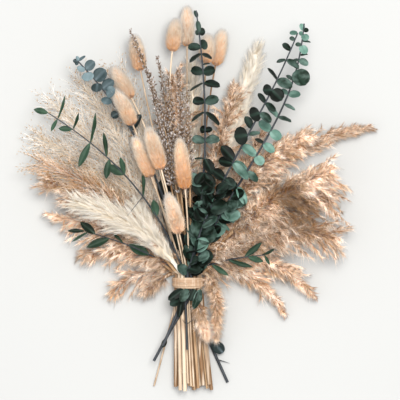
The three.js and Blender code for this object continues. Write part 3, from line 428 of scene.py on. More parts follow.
# from x, y to x, y, width, roll and lift, and how pale the leaf is; the pale teal of the leaves that face
# the light is partly painted reflection
blades = {
    "eucalyptus_middle": [
        (9, 290, 7, 297, 5, 30, 0, 0.2), (11, 275, 10, 286, 6, 20, 3, 0.25),
        (12, 272, 19, 274, 9, -10, 2, 0.05), (12, 272, 8, 272, 6, 10, 0, 0.1),
        (12, 258, 0, 256, 12, 40, 2, 0.25), (12, 258, 21, 262, 13, -25, 2, 0.15),
        (12, 250, 2, 240, 11, 65, 0, 0.1), (12, 250, 26, 244, 11, -65, 0, 0.05),
        (15, 236, 24, 239, 7, -70, 2, 0.1), (16, 230, 3, 231, 15, 45, 2, 0.15),
        (16, 230, 30, 232, 15, -40, 2, 0.12), (16, 219, 2, 209, 11, 76, 0, 0.1),
        (16, 219, 35, 214, 13, -50, 2, 0.05), (19, 197, 5, 197, 15, 50, 2, 0.1),
        (19, 197, 34, 200, 16, -45, 2, 0.4), (19, 185, 4, 176, 11, 72, 0, 0.1),
        (19, 185, 34, 172, 12, -62, 0, 0.05), (20, 167, 13, 169, 9, 5, 4, 0),
        (20, 167, 27, 168, 7, -15, 4, 0), (20, 157, 4, 157, 15, 50, 2, 0.45),
        (20, 157, 35, 156, 15, -50, 2, 0.5), (19, 136, 7, 136, 10, 75, 0, 0.4),
        (19, 136, 27, 119, 12, -20, 5, 0.03), (18, 121, 9, 108, 12, 30, 5, 0.05),
        (18, 121, 29, 105, 11, -20, 5, 0.1), (12, -9, 4, -33, 18, 10, 4, 0.45),
        (-2, -9, 0, -22, 12, 10, 5, 0.1),
    ],
    "eucalyptus_right_inner": [
        (118, 271, 110, 272, 7, 40, 0, 0.75), (117, 265, 110, 267, 9, 55, 0, 0.4),
        (112, 254, 102, 260, 10, 45, 2, 0.1), (107, 241, 96, 240, 10, 65, 0, 0.35),
        (107, 241, 120, 233, 11, -50, 0, 0.4), (97, 221, 86, 234, 11, 68, 0, 0.05),
        (97, 221, 113, 213, 13, -30, 2, 0.5), (90, 209, 81, 210, 13, 15, 3, 0.05),
        (90, 209, 102, 199, 16, -10, 3, 0.03), (83, 196, 76, 207, 11, 55, 0, 0.12),
        (83, 196, 95, 187, 11, -50, 0, 0.25), (78, 186, 67, 182, 17, 10, 4, 0.02),
        (78, 186, 90, 175, 11, -35, 2, 0.45), (68, 168, 62, 182, 11, 40, 0, 0.12),
        (66, 161, 50, 160, 20, 5, 5, 0.03), (66, 161, 79, 164, 10, -60, 0, 0.6),
        (50, 136, 36, 150, 13, 20, 3, 0.02), (47, 132, 33, 134, 13, 30, 4, 0.04),
        (47, 132, 65, 113, 13, -40, 2, 0.72), (37, 116, 26, 124, 12, 20, 4, 0.03),
        (37, 116, 52, 107, 11, -40, 2, 0.2), (-8, -16, -20, -25, 11, 20, 4, 0.1),
    ],
    "eucalyptus_right_outer": [
        (127, 276, 123, 284, 7, 30, 0, 0.95), (127, 276, 132, 277, 6, -30, 0, 0.3),
        (125, 271, 130, 265, 9, -20, 3, 0.85), (125, 271, 121, 274, 5, 10, 2, 0.8),
        (125, 265, 134, 263, 6, -65, 0, 0.4), (124, 259, 128, 250, 10, -20, 4, 0.95),
        (124, 259, 117, 261, 7, 45, 0, 0.5), (123, 250, 131, 250, 6, -65, 0, 0.4),
        (121, 243, 131, 238, 9, -30, 2, 0.6), (121, 243, 114, 242, 6, 50, 0, 0.2),
        (119, 232, 128, 216, 20, -10, 5, 0.55), (114, 220, 107, 227, 9, 60, 0, 0.3),
        (109, 207, 123, 206, 11, -40, 2, 0.75), (109, 207, 102, 212, 7, 40, 2, 0.7),
        (105, 197, 117, 189, 10, -65, 0, 0.6), (98, 183, 86, 193, 10, 50, 2, 0.7),
        (98, 183, 113, 176, 11, -65, 0, 0.3), (91, 167, 77, 177, 12, 25, 3, 0.8),
        (91, 167, 101, 157, 12, -20, 4, 0.9), (84, 154, 94, 143, 11, -30, 4, 0.95),
        (84, 154, 73, 158, 9, 60, 0, 0.1), (74, 139, 58, 151, 12, 30, 2, 0.85),
        (74, 139, 81, 129, 12, -20, 4, 0.9), (65, 124, 76, 111, 11, -40, 3, 0.6),
        (65, 124, 50, 133, 12, 40, 2, 0.75), (53, 105, 63, 86, 11, -30, 4, 0.92),
        (53, 105, 41, 109, 12, 30, 3, 0.1), (42, 86, 50, 66, 13, -20, 5, 0.65),
        (42, 86, 26, 88, 11, 60, 3, 0.5), (32, 69, 45, 57, 11, -70, 3, 0.8),
        (32, 69, 19, 72, 10, 70, 3, 0.8), (-9, -20, -5, -42, 12, 10, 2, 0.15),
        (-22, -62, -28, -72, 6, 10, 2, 0.1),
    ],
    "eucalyptus_left": [
        (-122, 244, -126, 244, 5, 10, 0, 0.1), (-120, 243, -122, 249, 5, 40, 0, 0.9),
        (-119, 242, -112, 249, 6, -55, 0, 0.5), (-119, 242, -123, 239, 5, 30, 0, 0.2),
        (-114, 239, -119, 232, 10, 20, 2, 0.8), (-111, 234, -102, 243, 12, -20, 2, 0.35),
        (-110, 232, -109, 221, 14, 15, 4, 0.85), (-102, 224, -90, 234, 16, -15, 2, 0.25),
        (-99, 220, -100, 209, 13, 15, 4, 0.1), (-94, 212, -81, 222, 13, -20, 2, 0.3),
        (-90, 208, -79, 212, 13, -20, 4, 0.7), (-86, 202, -91, 196, 13, 20, 4, 0.5),
        (-77, 188, -84, 182, 10, 20, 2, 0.05), (-67, 175, -57, 177, 10, -30, 2, 0.3),
        (-63, 168, -51, 185, 10, -30, 0, 0), (28, -76, 41, -74, 9, 20, 3, 0.15),
        (32, -88, 47, -91, 2.2, 10, 0, 0.1),
    ],
    "sprig_left_upper": [
        (-151, 185, -168, 190, 7, 10, 0), (-141, 183, -134, 205, 6, 70, 2), (-141, 183, -149, 166, 5, 30, 0),
        (-125, 171, -119, 186, 5, 60, 3), (-125, 171, -141, 169, 7, 20, 0), (-107, 154, -101, 186, 6, 65, 4),
        (-107, 154, -119, 127, 8, 10, 2), (-89, 138, -92, 165, 6, 40, 4), (-88, 136, -89, 114, 8, 10, 3),
        (-69, 117, -89, 129, 10, 15, 5), (-69, 117, -74, 138, 7, 35, 4), (-51, 92, -50, 122, 5, 55, 4),
        (-36, 71, -38, 92, 9, 10, 4), (-51, 92, -70, 69, 1.4, 0, 3), (1, -46, -7, -40, 1.4, 0, 0),
        (1, -46, 13, -36, 1.4, 0, 0),
    ],
    "sprig_left_low": [
        (-113, 57, -133, 57, 5, 20, 0), (-112, 56, -128, 45, 3.5, 40, 0), (-101, 54, -119, 67, 9, 10, 2),
        (-86, 50, -112, 39, 9, 10, 2), (-42, 33, -66, 42, 12, 15, 4), (-70, 45, -83, 54, 4, 50, 2),
    ],
    "sprig_right": [
        (43, 28, 71, 18, 6, 30, 3), (63, 30, 81, 45, 7, 15, 3), (64, 30, 83, 24, 7, 20, 4),
        (82, 31, 95, 38, 4, 40, 0), (83, 31, 90, 20, 4, 30, 0), (27, 17, 45, 8, 6, 15, 4),
    ],
}
# stalks and leaves stand for rows of balls here, and a leaf's balls keep clear of all the others
balls = {"leafRadius": 0.9, "clear": 0.75, "near": 45, "leafPitch": 3, "stalkPitch": 1.6, "fullness": 1.6}
room = {"at": np.zeros((0, 3)), "radius": np.zeros(0), "owner": np.zeros(0, int)}


def take(owner, at, radius):
    room["at"] = np.concatenate([room["at"], at])
    room["radius"] = np.concatenate([room["radius"], np.broadcast_to(radius, len(at))])
    room["owner"] = np.concatenate([room["owner"], np.full(len(at), owner)])


def isClear(owner, at):
    near = (room["owner"] != owner) & (np.abs(room["at"] - at.mean(axis=0)).max(axis=1) < balls["near"])
    if not near.any():
        return True
    between = np.linalg.norm(at[:, None] - room["at"][near][None], axis=2)
    return (between - room["radius"][near] - balls["leafRadius"]).min() >= balls["clear"]


def takeStalks():
    for route in routes:
        stalkRadius, core, _ = kinds[route["kind"]]
        hasHead = route["kind"] not in leafKinds
        points = route["points"]
        for k in range(len(points) - 1):
            radius = min(route["girth"][k], core) if hasHead and k >= route["headStart"] else stalkRadius
            count = max(2, math.ceil(np.linalg.norm(points[k + 1] - points[k]) / balls["stalkPitch"]))
            steps = np.linspace(0, 1, count + 1)[:, None]
            take(route["index"], points[k] + (points[k + 1] - points[k]) * steps, radius)


def leafWidth(share, fullness):
    return np.sin(np.pi * np.clip(share, 0, 1)) ** (1 / fullness)


def leafBalls(leaf):
    along = leaf["end"] - leaf["base"]
    across = unit(np.cross(along, leaf["facing"]))
    rows = max(3, math.ceil(np.linalg.norm(along) / balls["leafPitch"]))
    places = []
    for row in range(1, rows + 1):
        half = 0.5 * leaf["width"] * leafWidth(row / rows, balls["fullness"])
        columns = math.ceil(2 * half / balls["leafPitch"])
        for column in range(columns + 1):
            share = column / columns - 0.5 if columns else 0
            places.append(leaf["base"] + along * row / rows + across * share * 2 * half)
    return np.array(places)


def fitLeaf(route, at, angle, size):
    # the largest leaf, turned as little as it can be, that finds room
    rules = pairs[route["name"]]
    base, ahead, side, above = (way[0] for way in station(route, min(at, len(route["points"]) - 1.01)))
    lean = math.radians(rules["lean"])
    for scale in (1, 0.8, 0.62):
        for swing in (0, 18, -18, 36, -36, 54, -54):
            turned = math.radians(angle + swing)
            outward = side * math.cos(turned) + above * math.sin(turned)
            way = outward * math.cos(lean) + ahead * math.sin(lean)
            leaf = {"base": base, "end": base + way * size * scale, "width": size * scale * rules["broad"],
                    "facing": ahead + up * math.tan(math.radians(rules["open"]))}
            places = leafBalls(leaf)
            if places[:, 2].min() > 1 and isClear(route["index"], places):
                take(route["index"], places, balls["leafRadius"])
                return leaf
    return None


def pairedLeaves(route):
    rules = pairs.get(route["name"])
    if not rules:
        return []
    leaves = []
    count = math.floor((rules["last"] - rules["first"]) / rules["step"])
    for n in range(count + 1):
        share = n / count
        at = route["below"] + (rules["first"] + n * rules["step"]) / running["step"]
        size = rules["long"] + (rules["short"] - rules["long"]) * share * share
        for half in (0, 180):
            swing = (chance(route["index"] + 1, 2 * n + half) - 0.5) * 24
            leaf = fitLeaf(route, at, rules["turn"] + 90 * (n % 2) + half + swing, size)
            if leaf:
                leaves.append(leaf)
    return leaves


def placedLeaves(route):
    leaves = []
    for fromX, fromY, toX, toY, width, roll, lift, *tone in blades.get(route["name"], []):
        points = route["points"]
        base = points[np.argmin(np.hypot(points[:, 0] - fromX, points[:, 1] - fromY))]
        for rise in (0, 4, 8, -4, 12):
            end = np.array([toX, toY, max(2, base[2] + lift + rise)])
            along = unit(end - base)
            turned = math.radians(roll)
            facing = (up * math.cos(turned) + np.cross(along, up) * math.sin(turned)
                      + along * along[2] * (1 - math.cos(turned)))
            leaf = {"base": base, "end": end, "facing": facing, "width": width}
            if tone:
                leaf["tone"] = tone[0]
            places = leafBalls(leaf)[2:]
            if isClear(route["index"], places):
                take(route["index"], places, balls["leafRadius"])
                leaves.append(leaf)
                break
    return leaves


takeStalks()
leavesOf = {route["name"]: pairedLeaves(route) + placedLeaves(route)
            for route in routes if route["kind"] in leafKinds}
print("leaves found room:", sum(len(leaves) for leaves in leavesOf.values()))


# small shapes that are modelled once and then copied along the stalks

def clearSelection():
    if bpy.context.object and bpy.context.object.mode != "OBJECT":
        bpy.ops.object.mode_set(mode="OBJECT")
    bpy.ops.object.select_all(action="DESELECT")


def takeShape(piece):
    # corners and triangles of a modelled shape, whose own object is then removed
    mesh = piece.data
    mesh.calc_loop_triangles()
    points = np.zeros(len(mesh.vertices) * 3)
    mesh.vertices.foreach_get("co", points)
    triangles = np.zeros(len(mesh.loop_triangles) * 3, np.int32)
    mesh.loop_triangles.foreach_get("vertices", triangles)
    bpy.data.objects.remove(piece)
    return points.reshape(-1, 3), triangles.reshape(-1, 3)


def modelStrand(cuts, fullness):
    # a three-sided point, one unit long, with rings cut into it so that it can bend
    clearSelection()
    bpy.ops.mesh.primitive_cone_add(vertices=3, radius1=1, radius2=0, depth=1, location=(0, 0, 0.5))
    strand = bpy.context.object
    bpy.ops.object.transform_apply(location=True)
    bpy.ops.object.mode_set(mode="EDIT")
    for cut in range(1, cuts + 1):
        bpy.ops.mesh.select_all(action="SELECT")
        bpy.ops.mesh.bisect(plane_co=(0, 0, cut / (cuts + 1)), plane_no=(0, 0, 1))
    bpy.ops.object.mode_set(mode="OBJECT")
    for vertex in strand.data.vertices:
        taper = 1 - vertex.co.z
        if 0.001 < taper < 0.999:  # keeps the strand thicker towards its tip than a straight cone
            vertex.co.x *= taper ** fullness / taper
            vertex.co.y *= taper ** fullness / taper
    return takeShape(strand)


def modelGrain(sides, rings, waist):
    # a slim closed grain or bud, one unit long, broadest at its waist
    clearSelection()
    bpy.ops.mesh.primitive_uv_sphere_add(segments=sides, ring_count=rings, radius=1, location=(0, 0, 0))
    grain = bpy.context.object
    for vertex in grain.data.vertices:
        share = (vertex.co.z + 1) / 2
        vertex.co.z = share ** (math.log(waist) / math.log(0.5))
    return takeShape(grain)


def modelLeaf(fullness, cup, columns, rows):
    # a cupped blade, one unit long and one wide, with a sunk midrib and a slightly wavy rim
    clearSelection()
    bpy.ops.mesh.primitive_grid_add(x_subdivisions=columns, y_subdivisions=rows, size=1,
                                    location=(0, 0.5, 0))
    leaf = bpy.context.object
    bpy.ops.object.transform_apply(location=True)
    for vertex in leaf.data.vertices:
        across, along = vertex.co.x * 2, vertex.co.y
        half = 0.5 * leafWidth(along, fullness)
        vertex.co.x = across * half
        wave = 0.03 * math.sin(9 * along + 2 * np.sign(across)) * abs(across) * half
        rib = -0.014 * math.exp(-(across * 5) ** 2) * math.sin(math.pi * along)
        vertex.co.z = cup * abs(across * half) * 1.1 + cup * 0.5 * (along - 0.5) ** 2 + wave + rib
    bpy.ops.object.mode_set(mode="EDIT")
    bpy.ops.mesh.select_all(action="SELECT")
    bpy.ops.mesh.remove_doubles(threshold=0.002)
    bpy.ops.object.mode_set(mode="OBJECT")
    thick = leaf.modifiers.new("thickness", "SOLIDIFY")
    thick.thickness = 0.024
    thick.offset = 0
    bpy.ops.object.modifier_apply(modifier=thick.name)
    return takeShape(leaf)


strandStraight = modelStrand(0, 1)
strandBent = modelStrand(1, 0.7)
strandLong = modelStrand(3, 0.6)
grainSlim = modelGrain(4, 2, 0.4)
budRound = modelGrain(6, 4, 0.6)
tailCore = modelGrain(20, 14, 0.5)
leafRound = modelLeaf(2.2, 0.16, 9, 11)
leafNarrow = modelLeaf(1.3, 0.08, 7, 12)
print("strand, grain, bud and leaf are modelled")


# copies of those shapes, as parts of a piece. Each corner holds how far out it is, its tone, and how near
# it is to a leaf's rib.

def makePart(corners, triangles, reach, tone, finish=0, rib=None):
    count, perCopy = corners.shape[:2]
    faces = triangles[None] + (np.arange(count) * perCopy)[:, None, None]
    perCorner = {"reach": reach, "tone": np.asarray(tone).reshape(-1, 1), "rib": 0.0 if rib is None else rib}
    return {"points": corners.reshape(-1, 3), "faces": faces.reshape(-1, 3),
            "finish": np.full(len(faces) * len(triangles), finish),
            **{name: np.broadcast_to(value, (count, perCopy)).ravel() for name, value in perCorner.items()}}


def bendAt(bends, t):
    start, middle, end = (point[:, None] for point in bends)
    t = np.broadcast_to(t, (len(bends[0]), np.shape(t)[-1]))[..., None]
    place = start * (1 - t) ** 2 + middle * 2 * t * (1 - t) + end * t * t
    way = (middle - start) * (1 - t) + (end - middle) * t
    return place, unit(way)


def bendStrands(shape, bends, radius, tone, fromReach=0.0, toReach=1.0, finish=0):
    # a copy of the strand along each bend, from its start through its middle to its end
    points, triangles = shape
    place, way = bendAt(bends, points[:, 2])
    lean = np.where(np.abs(way[..., 2:]) > 0.9, [1.0, 0, 0], [0, 0, 1.0])
    side = unit(np.cross(way, lean))
    other = np.cross(way, side)
    radius = np.broadcast_to(radius, len(place))[:, None, None]
    corners = place + radius * (side * points[:, :1] + other * points[:, 1:2])
    first, last = (np.broadcast_to(value, len(place))[:, None] for value in (fromReach, toReach))
    return makePart(corners, triangles, first + (last - first) * points[:, 2], tone, finish)


def stampShape(shape, at, ways, sizes, tone, across, fromReach=0.0, toReach=1.0, finish=0):
    # a copy of the shape at each place, its length along the way
    points, triangles = shape
    side = unit(across - ways * np.sum(across * ways, axis=1, keepdims=True))
    other = np.cross(ways, side)
    sizes = np.broadcast_to(sizes, (len(at), 3))
    corners = (at[:, None] + points[:, :1] * (sizes[:, :1] * side)[:, None]
               + points[:, 1:2] * (sizes[:, 1:2] * other)[:, None]
               + points[:, 2:] * (sizes[:, 2:] * ways)[:, None])
    return makePart(corners, triangles, fromReach + (toReach - fromReach) * points[:, 2], tone, finish)


def keepAboveTable(points, bedded=3):
    # what hangs lower than this lies flatter the lower it is
    low = points[:, 2] < bedded
    points[low, 2] = bedded * np.exp((points[low, 2] - bedded) / bedded)
    return points


def meshFrom(name, parts, materials):
    starts = np.cumsum([0] + [len(part["points"]) for part in parts[:-1]])
    points = keepAboveTable(np.concatenate([part["points"] for part in parts]))
    faces = np.concatenate([part["faces"] + start for part, start in zip(parts, starts)])
    mesh = bpy.data.meshes.new(name)
    mesh.vertices.add(len(points))
    mesh.vertices.foreach_set("co", (points * mm).astype(np.float32).ravel())
    mesh.loops.add(len(faces) * 3)
    mesh.loops.foreach_set("vertex_index", faces.astype(np.int32).ravel())
    mesh.polygons.add(len(faces))
    mesh.polygons.foreach_set("loop_start", np.arange(0, len(faces) * 3, 3, dtype=np.int32))
    mesh.update(calc_edges=True)
    mesh.polygons.foreach_set("material_index", np.concatenate([part["finish"] for part in parts]))
    for value in ("reach", "tone", "rib"):
        layer = mesh.attributes.new(value, "FLOAT", "POINT")
        layer.data.foreach_set("value", np.concatenate([part[value] for part in parts]).astype(np.float32))
    for material in materials:
        mesh.materials.append(finishes[material])
    piece = bpy.data.objects.new(name, mesh)
    bpy.context.scene.collection.objects.link(piece)
    return piece


def setValue(mesh, name, amount):
    mesh.attributes.new(name, "FLOAT", "POINT").data.foreach_set("value", [amount] * len(mesh.vertices))


# stems: a round line that follows the route, with the joints that grass stems have

stems = {
    "jointEvery": 62.0, "jointSwell": 0.2, "jointWidth": 0.16, "firstJoint": (12, 40), "jointsUpTo": 0.75,
    "hollow": 0.62, "hollowDepth": 4.0, "reach": 0.35, "jointed": 1.5, "pastTie": 12,
}


def layStem(route, tone, radiusAt, hasJoints):
    last = len(route["points"]) - 1
    at = [float(k) for k in range(last + 1)]
    joints = []
    if hasJoints:
        low, over = stems["firstJoint"]
        first, final = low + over * chance(route["index"], 7), last * running["step"] * stems["jointsUpTo"]
        joints = np.arange(first, final, stems["jointEvery"]) / running["step"]
        for joint in joints:
            at += [joint - 0.35, joint - 0.12, joint + 0.12, joint + 0.35]
    at = np.array(sorted(at))
    places = station(route, at)[0]
    radii = np.array([radiusAt(value) for value in at])
    for joint in joints:
        radii *= 1 + stems["jointSwell"] * np.exp(-((at - joint) / stems["jointWidth"]) ** 2)
    clearSelection()
    bpy.ops.curve.primitive_nurbs_path_add(location=(0, 0, 0))
    stem = bpy.context.object
    stem.data.splines.clear()
    line = stem.data.splines.new("POLY")
    line.points.add(len(at) - 1)
    line.points.foreach_set("co", np.c_[places * mm, np.ones(len(at))].ravel())
    line.points.foreach_set("radius", radii)
    stem.data.bevel_depth = mm
    stem.data.bevel_resolution = 2
    stem.data.use_fill_caps = True
    stem.data.twist_mode = "MINIMUM"
    bpy.ops.object.convert(target="MESH")
    stem = bpy.context.object
    setValue(stem.data, "tone", tone)
    setValue(stem.data, "reach", stems["reach"])
    return stem


def hollowCutEnd(stem, route):
    # the cut end of a grass stem shows its bore
    cut = route["points"][0] * mm
    back = unit(route["points"][0] - route["points"][1])
    for face in stem.data.polygons:  # only the cap is so near the cut, and faces out of it
        face.select = bool(np.linalg.norm(np.array(face.center) - cut) < 1.2 * mm
                           and np.dot(face.normal, back) > 0.8)
    bpy.ops.object.mode_set(mode="EDIT")
    bpy.ops.mesh.select_mode(type="FACE")
    bpy.ops.mesh.inset(thickness=(1 - stems["hollow"]) * 2 * mm, depth=0)
    bpy.ops.mesh.extrude_region_move(
        TRANSFORM_OT_translate={"value": tuple(-back * stems["hollowDepth"] * mm)})
    bpy.ops.object.mode_set(mode="OBJECT")


def joinPiece(name, node, objects):
    # one piece from the stem and what grows on it, in the place of its node
    clearSelection()
    for piece in objects:
        piece.select_set(True)
    bpy.context.view_layer.objects.active = objects[0]
    bpy.ops.object.join()
    piece = bpy.context.object
    piece.name = name
    piece.data.name = name
    bpy.ops.object.shade_smooth()
    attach(piece, "root")
    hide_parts(node)
    return piece


# finishes

def patternAt(tree, sizeMm, detail=2.0, stretch=(1, 1, 1)):
    # a soft mottle whose patches are about sizeMm across on the object
    place = addNode(tree, "TexCoord").outputs["Object"]
    turned = addNode(tree, "Mapping", {"Vector": place, "Scale": stretch}).outputs[0]
    return addNode(tree, "TexNoise", {"Vector": turned, "Scale": 600 / sizeMm, "Detail": detail}).outputs[0]


def spread(tree, value, low, high, fromLow=0.0, fromHigh=1.0):
    return addNode(tree, "MapRange", {"Value": value, "From Min": fromLow, "From Max": fromHigh,
                                      "To Min": low, "To Max": high}).outputs[0]


def blendColours(tree, share, first, second, how="MIX"):
    return addNode(tree, "Mix", {0: share, 6: first, 7: second}, data_type="RGBA",
                   blend_type=how).outputs[2]


def valueOn(tree, name):
    return addNode(tree, "Attribute", attribute_name=name).outputs["Fac"]


# how far the tone of a hair turns its hue, and greys its colour
hairTint = {"hue": (0.495, 0.505), "saturation": (1.7, 0.62), "mottle": (0.85, 1.15)}


def makeHairFinish(name, look):
    # dried silky hairs: matt, darker at the root and nearly white at the tip. The dark root is partly the
    # hair's own brown and partly painted shade deep in the head; the white tip is partly its own pale colour
    # and partly painted light, as if the light went through it. Where the tone range goes above one, the
    # palest hairs are
    # lifted past white: a painted highlight.
    material, tree, shader = startMaterial(name, Roughness=look["roughness"], IOR=1.5,
                                           Specular_IOR_Level=0.25, Sheen_Weight=look["sheen"],
                                           Sheen_Roughness=0.5)
    reach, tone = valueOn(tree, "reach"), valueOn(tree, "tone")
    lower = blendColours(tree, spread(tree, reach, 0, 1, 0.0, 0.5), linearColour(look["root"]),
                         linearColour(look["middle"]))
    whole = blendColours(tree, spread(tree, reach, 0, 1, 0.5, 1.0), lower, linearColour(look["tip"]))
    mottle = spread(tree, patternAt(tree, look["patch"]), *look.get("mottle", hairTint["mottle"]), 0.3, 0.7)
    depth = addNode(tree, "Math", {0: spread(tree, tone, *look["toneRange"]), 1: mottle},
                    operation="MULTIPLY").outputs[0]
    shaded = addNode(tree, "HueSaturation", {
        "Hue": spread(tree, tone, *hairTint["hue"]), "Value": depth, "Color": whole,
        "Saturation": spread(tree, tone, *hairTint["saturation"])}).outputs[0]
    tree.links.new(shaded, shader.inputs["Base Color"])
    return material


def makeStemFinish(name, look):
    # dried stems: a smooth rind with fine lengthwise fibres and darker flecks
    material, tree, shader = startMaterial(name, Roughness=look["roughness"], IOR=1.5,
                                           Specular_IOR_Level=0.4)
    fibres = patternAt(tree, 1.6, 3.0, (1, 0.06, 1))
    flecks = patternAt(tree, 9, 2.0, (1, 0.4, 1))
    pale = blendColours(tree, valueOn(tree, "tone"), linearColour(look["dark"]), linearColour(look["pale"]))
    streaked = blendColours(tree, spread(tree, fibres, 0, 0.75, 0.45, 0.7), pale,
                            linearColour(look["fibre"]))
    worn = blendColours(tree, spread(tree, flecks, 0, 0.6, 0.55, 0.75), streaked,
                        linearColour(look["fleck"]))
    tree.links.new(worn, shader.inputs["Base Color"])
    tree.links.new(spread(tree, fibres, look["roughness"] - 0.1, look["roughness"] + 0.12),
                   shader.inputs["Roughness"])
    bump = addNode(tree, "Bump", {"Strength": 0.35, "Distance": 0.0002, "Height": fibres})
    tree.links.new(bump.outputs[0], shader.inputs["Normal"])
    return material


def makeLeafFinish(name, look):
    # preserved eucalyptus: a leathery, dark green blade. Its pale teal, by tone, with patches of bloom
    # colour over it, is partly a real matt waxy bloom and partly painted reflection of the light on the
    # leaves that face it.
    material, tree, shader = startMaterial(name, Roughness=0.5, IOR=1.42, Specular_IOR_Level=0.18)
    tone = valueOn(tree, "tone")
    bloomAndPaintedReflection = patternAt(tree, 7, 3.0)
    body = blendColours(tree, spread(tree, tone, 0, 1, 0.0, 0.55), linearColour(look["dark"]),
                        linearColour(look["middle"]))
    body = blendColours(tree, spread(tree, tone, 0, 1, 0.55, 1.0), body, linearColour(look["pale"]))
    share = addNode(tree, "Math", {0: spread(tree, bloomAndPaintedReflection, 0, 0.7, 0.4, 0.7), 1: tone},
                    operation="MULTIPLY").outputs[0]
    patchy = blendColours(tree, share, body, linearColour(look["bloomAndPaintedReflection"]))
    rib = blendColours(tree, spread(tree, valueOn(tree, "rib"), 0, 0.5), patchy, linearColour(look["rib"]))
    tree.links.new(rib, shader.inputs["Base Color"])
    tree.links.new(spread(tree, bloomAndPaintedReflection, 0.4, 0.62, 0.3, 0.7), shader.inputs["Roughness"])
    veins = patternAt(tree, 1.8, 4.0)
    bump = addNode(tree, "Bump", {"Strength": 0.3, "Distance": 0.0003, "Height": veins})
    tree.links.new(bump.outputs[0], shader.inputs["Normal"])
    return material


finishes = {
    "reedHair": makeHairFinish("driedReedHair", {
        "root": "#8a5030", "middle": "#fad8b6", "tip": "#fcf3e8", "toneRange": (0.3, 1.68), "patch": 24,
        "roughness": 0.75, "sheen": 0.25, "mottle": (0.72, 1.28)}),
    "reedGrain": makeHairFinish("driedReedGrain", {
        "root": "#5e3016", "middle": "#96592e", "tip": "#d09a6a", "toneRange": (0.6, 1.25), "patch": 15,
        "roughness": 0.6, "sheen": 0.05}),
    "creamHair": makeHairFinish("bleachedPampasHair", {
        "root": "#f0e0c6", "middle": "#f9f1e2", "tip": "#fcf7ee", "toneRange": (0.92, 1.05), "patch": 18,
        "roughness": 0.7, "sheen": 0.3}),
    "bunnyHair": makeHairFinish("driedBunnyTailHair", {
        "root": "#de9e66", "middle": "#f0dec8", "tip": "#fdf6ee", "toneRange": (0.92, 1.06), "patch": 9,
        "roughness": 0.75, "sheen": 0.3}),
    "airyHair": makeHairFinish("driedAiryGrass", {
        "root": "#f0dfc6", "middle": "#fff6ea", "tip": "#fffcf7", "toneRange": (0.72, 1.2), "patch": 25,
        "roughness": 0.7, "sheen": 0.1}),
    "airyGrain": makeHairFinish("driedAirySeed", {
        "root": "#a88762", "middle": "#c4a580", "tip": "#dcc6a6", "toneRange": (0.6, 1.2), "patch": 12,
        "roughness": 0.65, "sheen": 0.0}),
    "spikeBud": makeHairFinish("driedFlowerBud", {
        "root": "#4e3c2c", "middle": "#98826c", "tip": "#dcd7d8", "toneRange": (0.25, 1.15), "patch": 10,
        "roughness": 0.75, "sheen": 0.1}),
    "straw": makeStemFinish("driedStraw", {
        "dark": "#7e5c3a", "pale": "#d8c2a6", "fibre": "#ead9c2", "fleck": "#8e6a46", "roughness": 0.5}),
    "spikeStem": makeStemFinish("driedFlowerStem", {
        "dark": "#7d5c3c", "pale": "#b8936c", "fibre": "#cdb08a", "fleck": "#5c442c", "roughness": 0.6}),
    "darkStem": makeStemFinish("preservedEucalyptusStem", {
        "dark": "#1d2228", "pale": "#333a40", "fibre": "#4c5154", "fleck": "#14171b", "roughness": 0.55}),
    "raffia": makeStemFinish("twistedRaffia", {
        "dark": "#a68062", "pale": "#c6aa8c", "fibre": "#d6c1a8", "fleck": "#906848", "roughness": 0.6}),
    "eucalyptusLeaf": makeLeafFinish("preservedEucalyptusLeaf", {
        "dark": "#070b06", "middle": "#17271d", "pale": "#668c7e", "bloomAndPaintedReflection": "#98b8ac", "rib": "#3c5a4c"}),
    "blueLeaf": makeLeafFinish("preservedLeafBlue", {
        "dark": "#1c2625", "middle": "#485a5e", "pale": "#7e9296", "bloomAndPaintedReflection": "#94a5a9", "rib": "#82939a"}),
    "narrowLeaf": makeLeafFinish("preservedNarrowLeaf", {
        "dark": "#0f1c12", "middle": "#203626", "pale": "#3c5a46", "bloomAndPaintedReflection": "#516c59", "rib": "#5a7460"}),
}
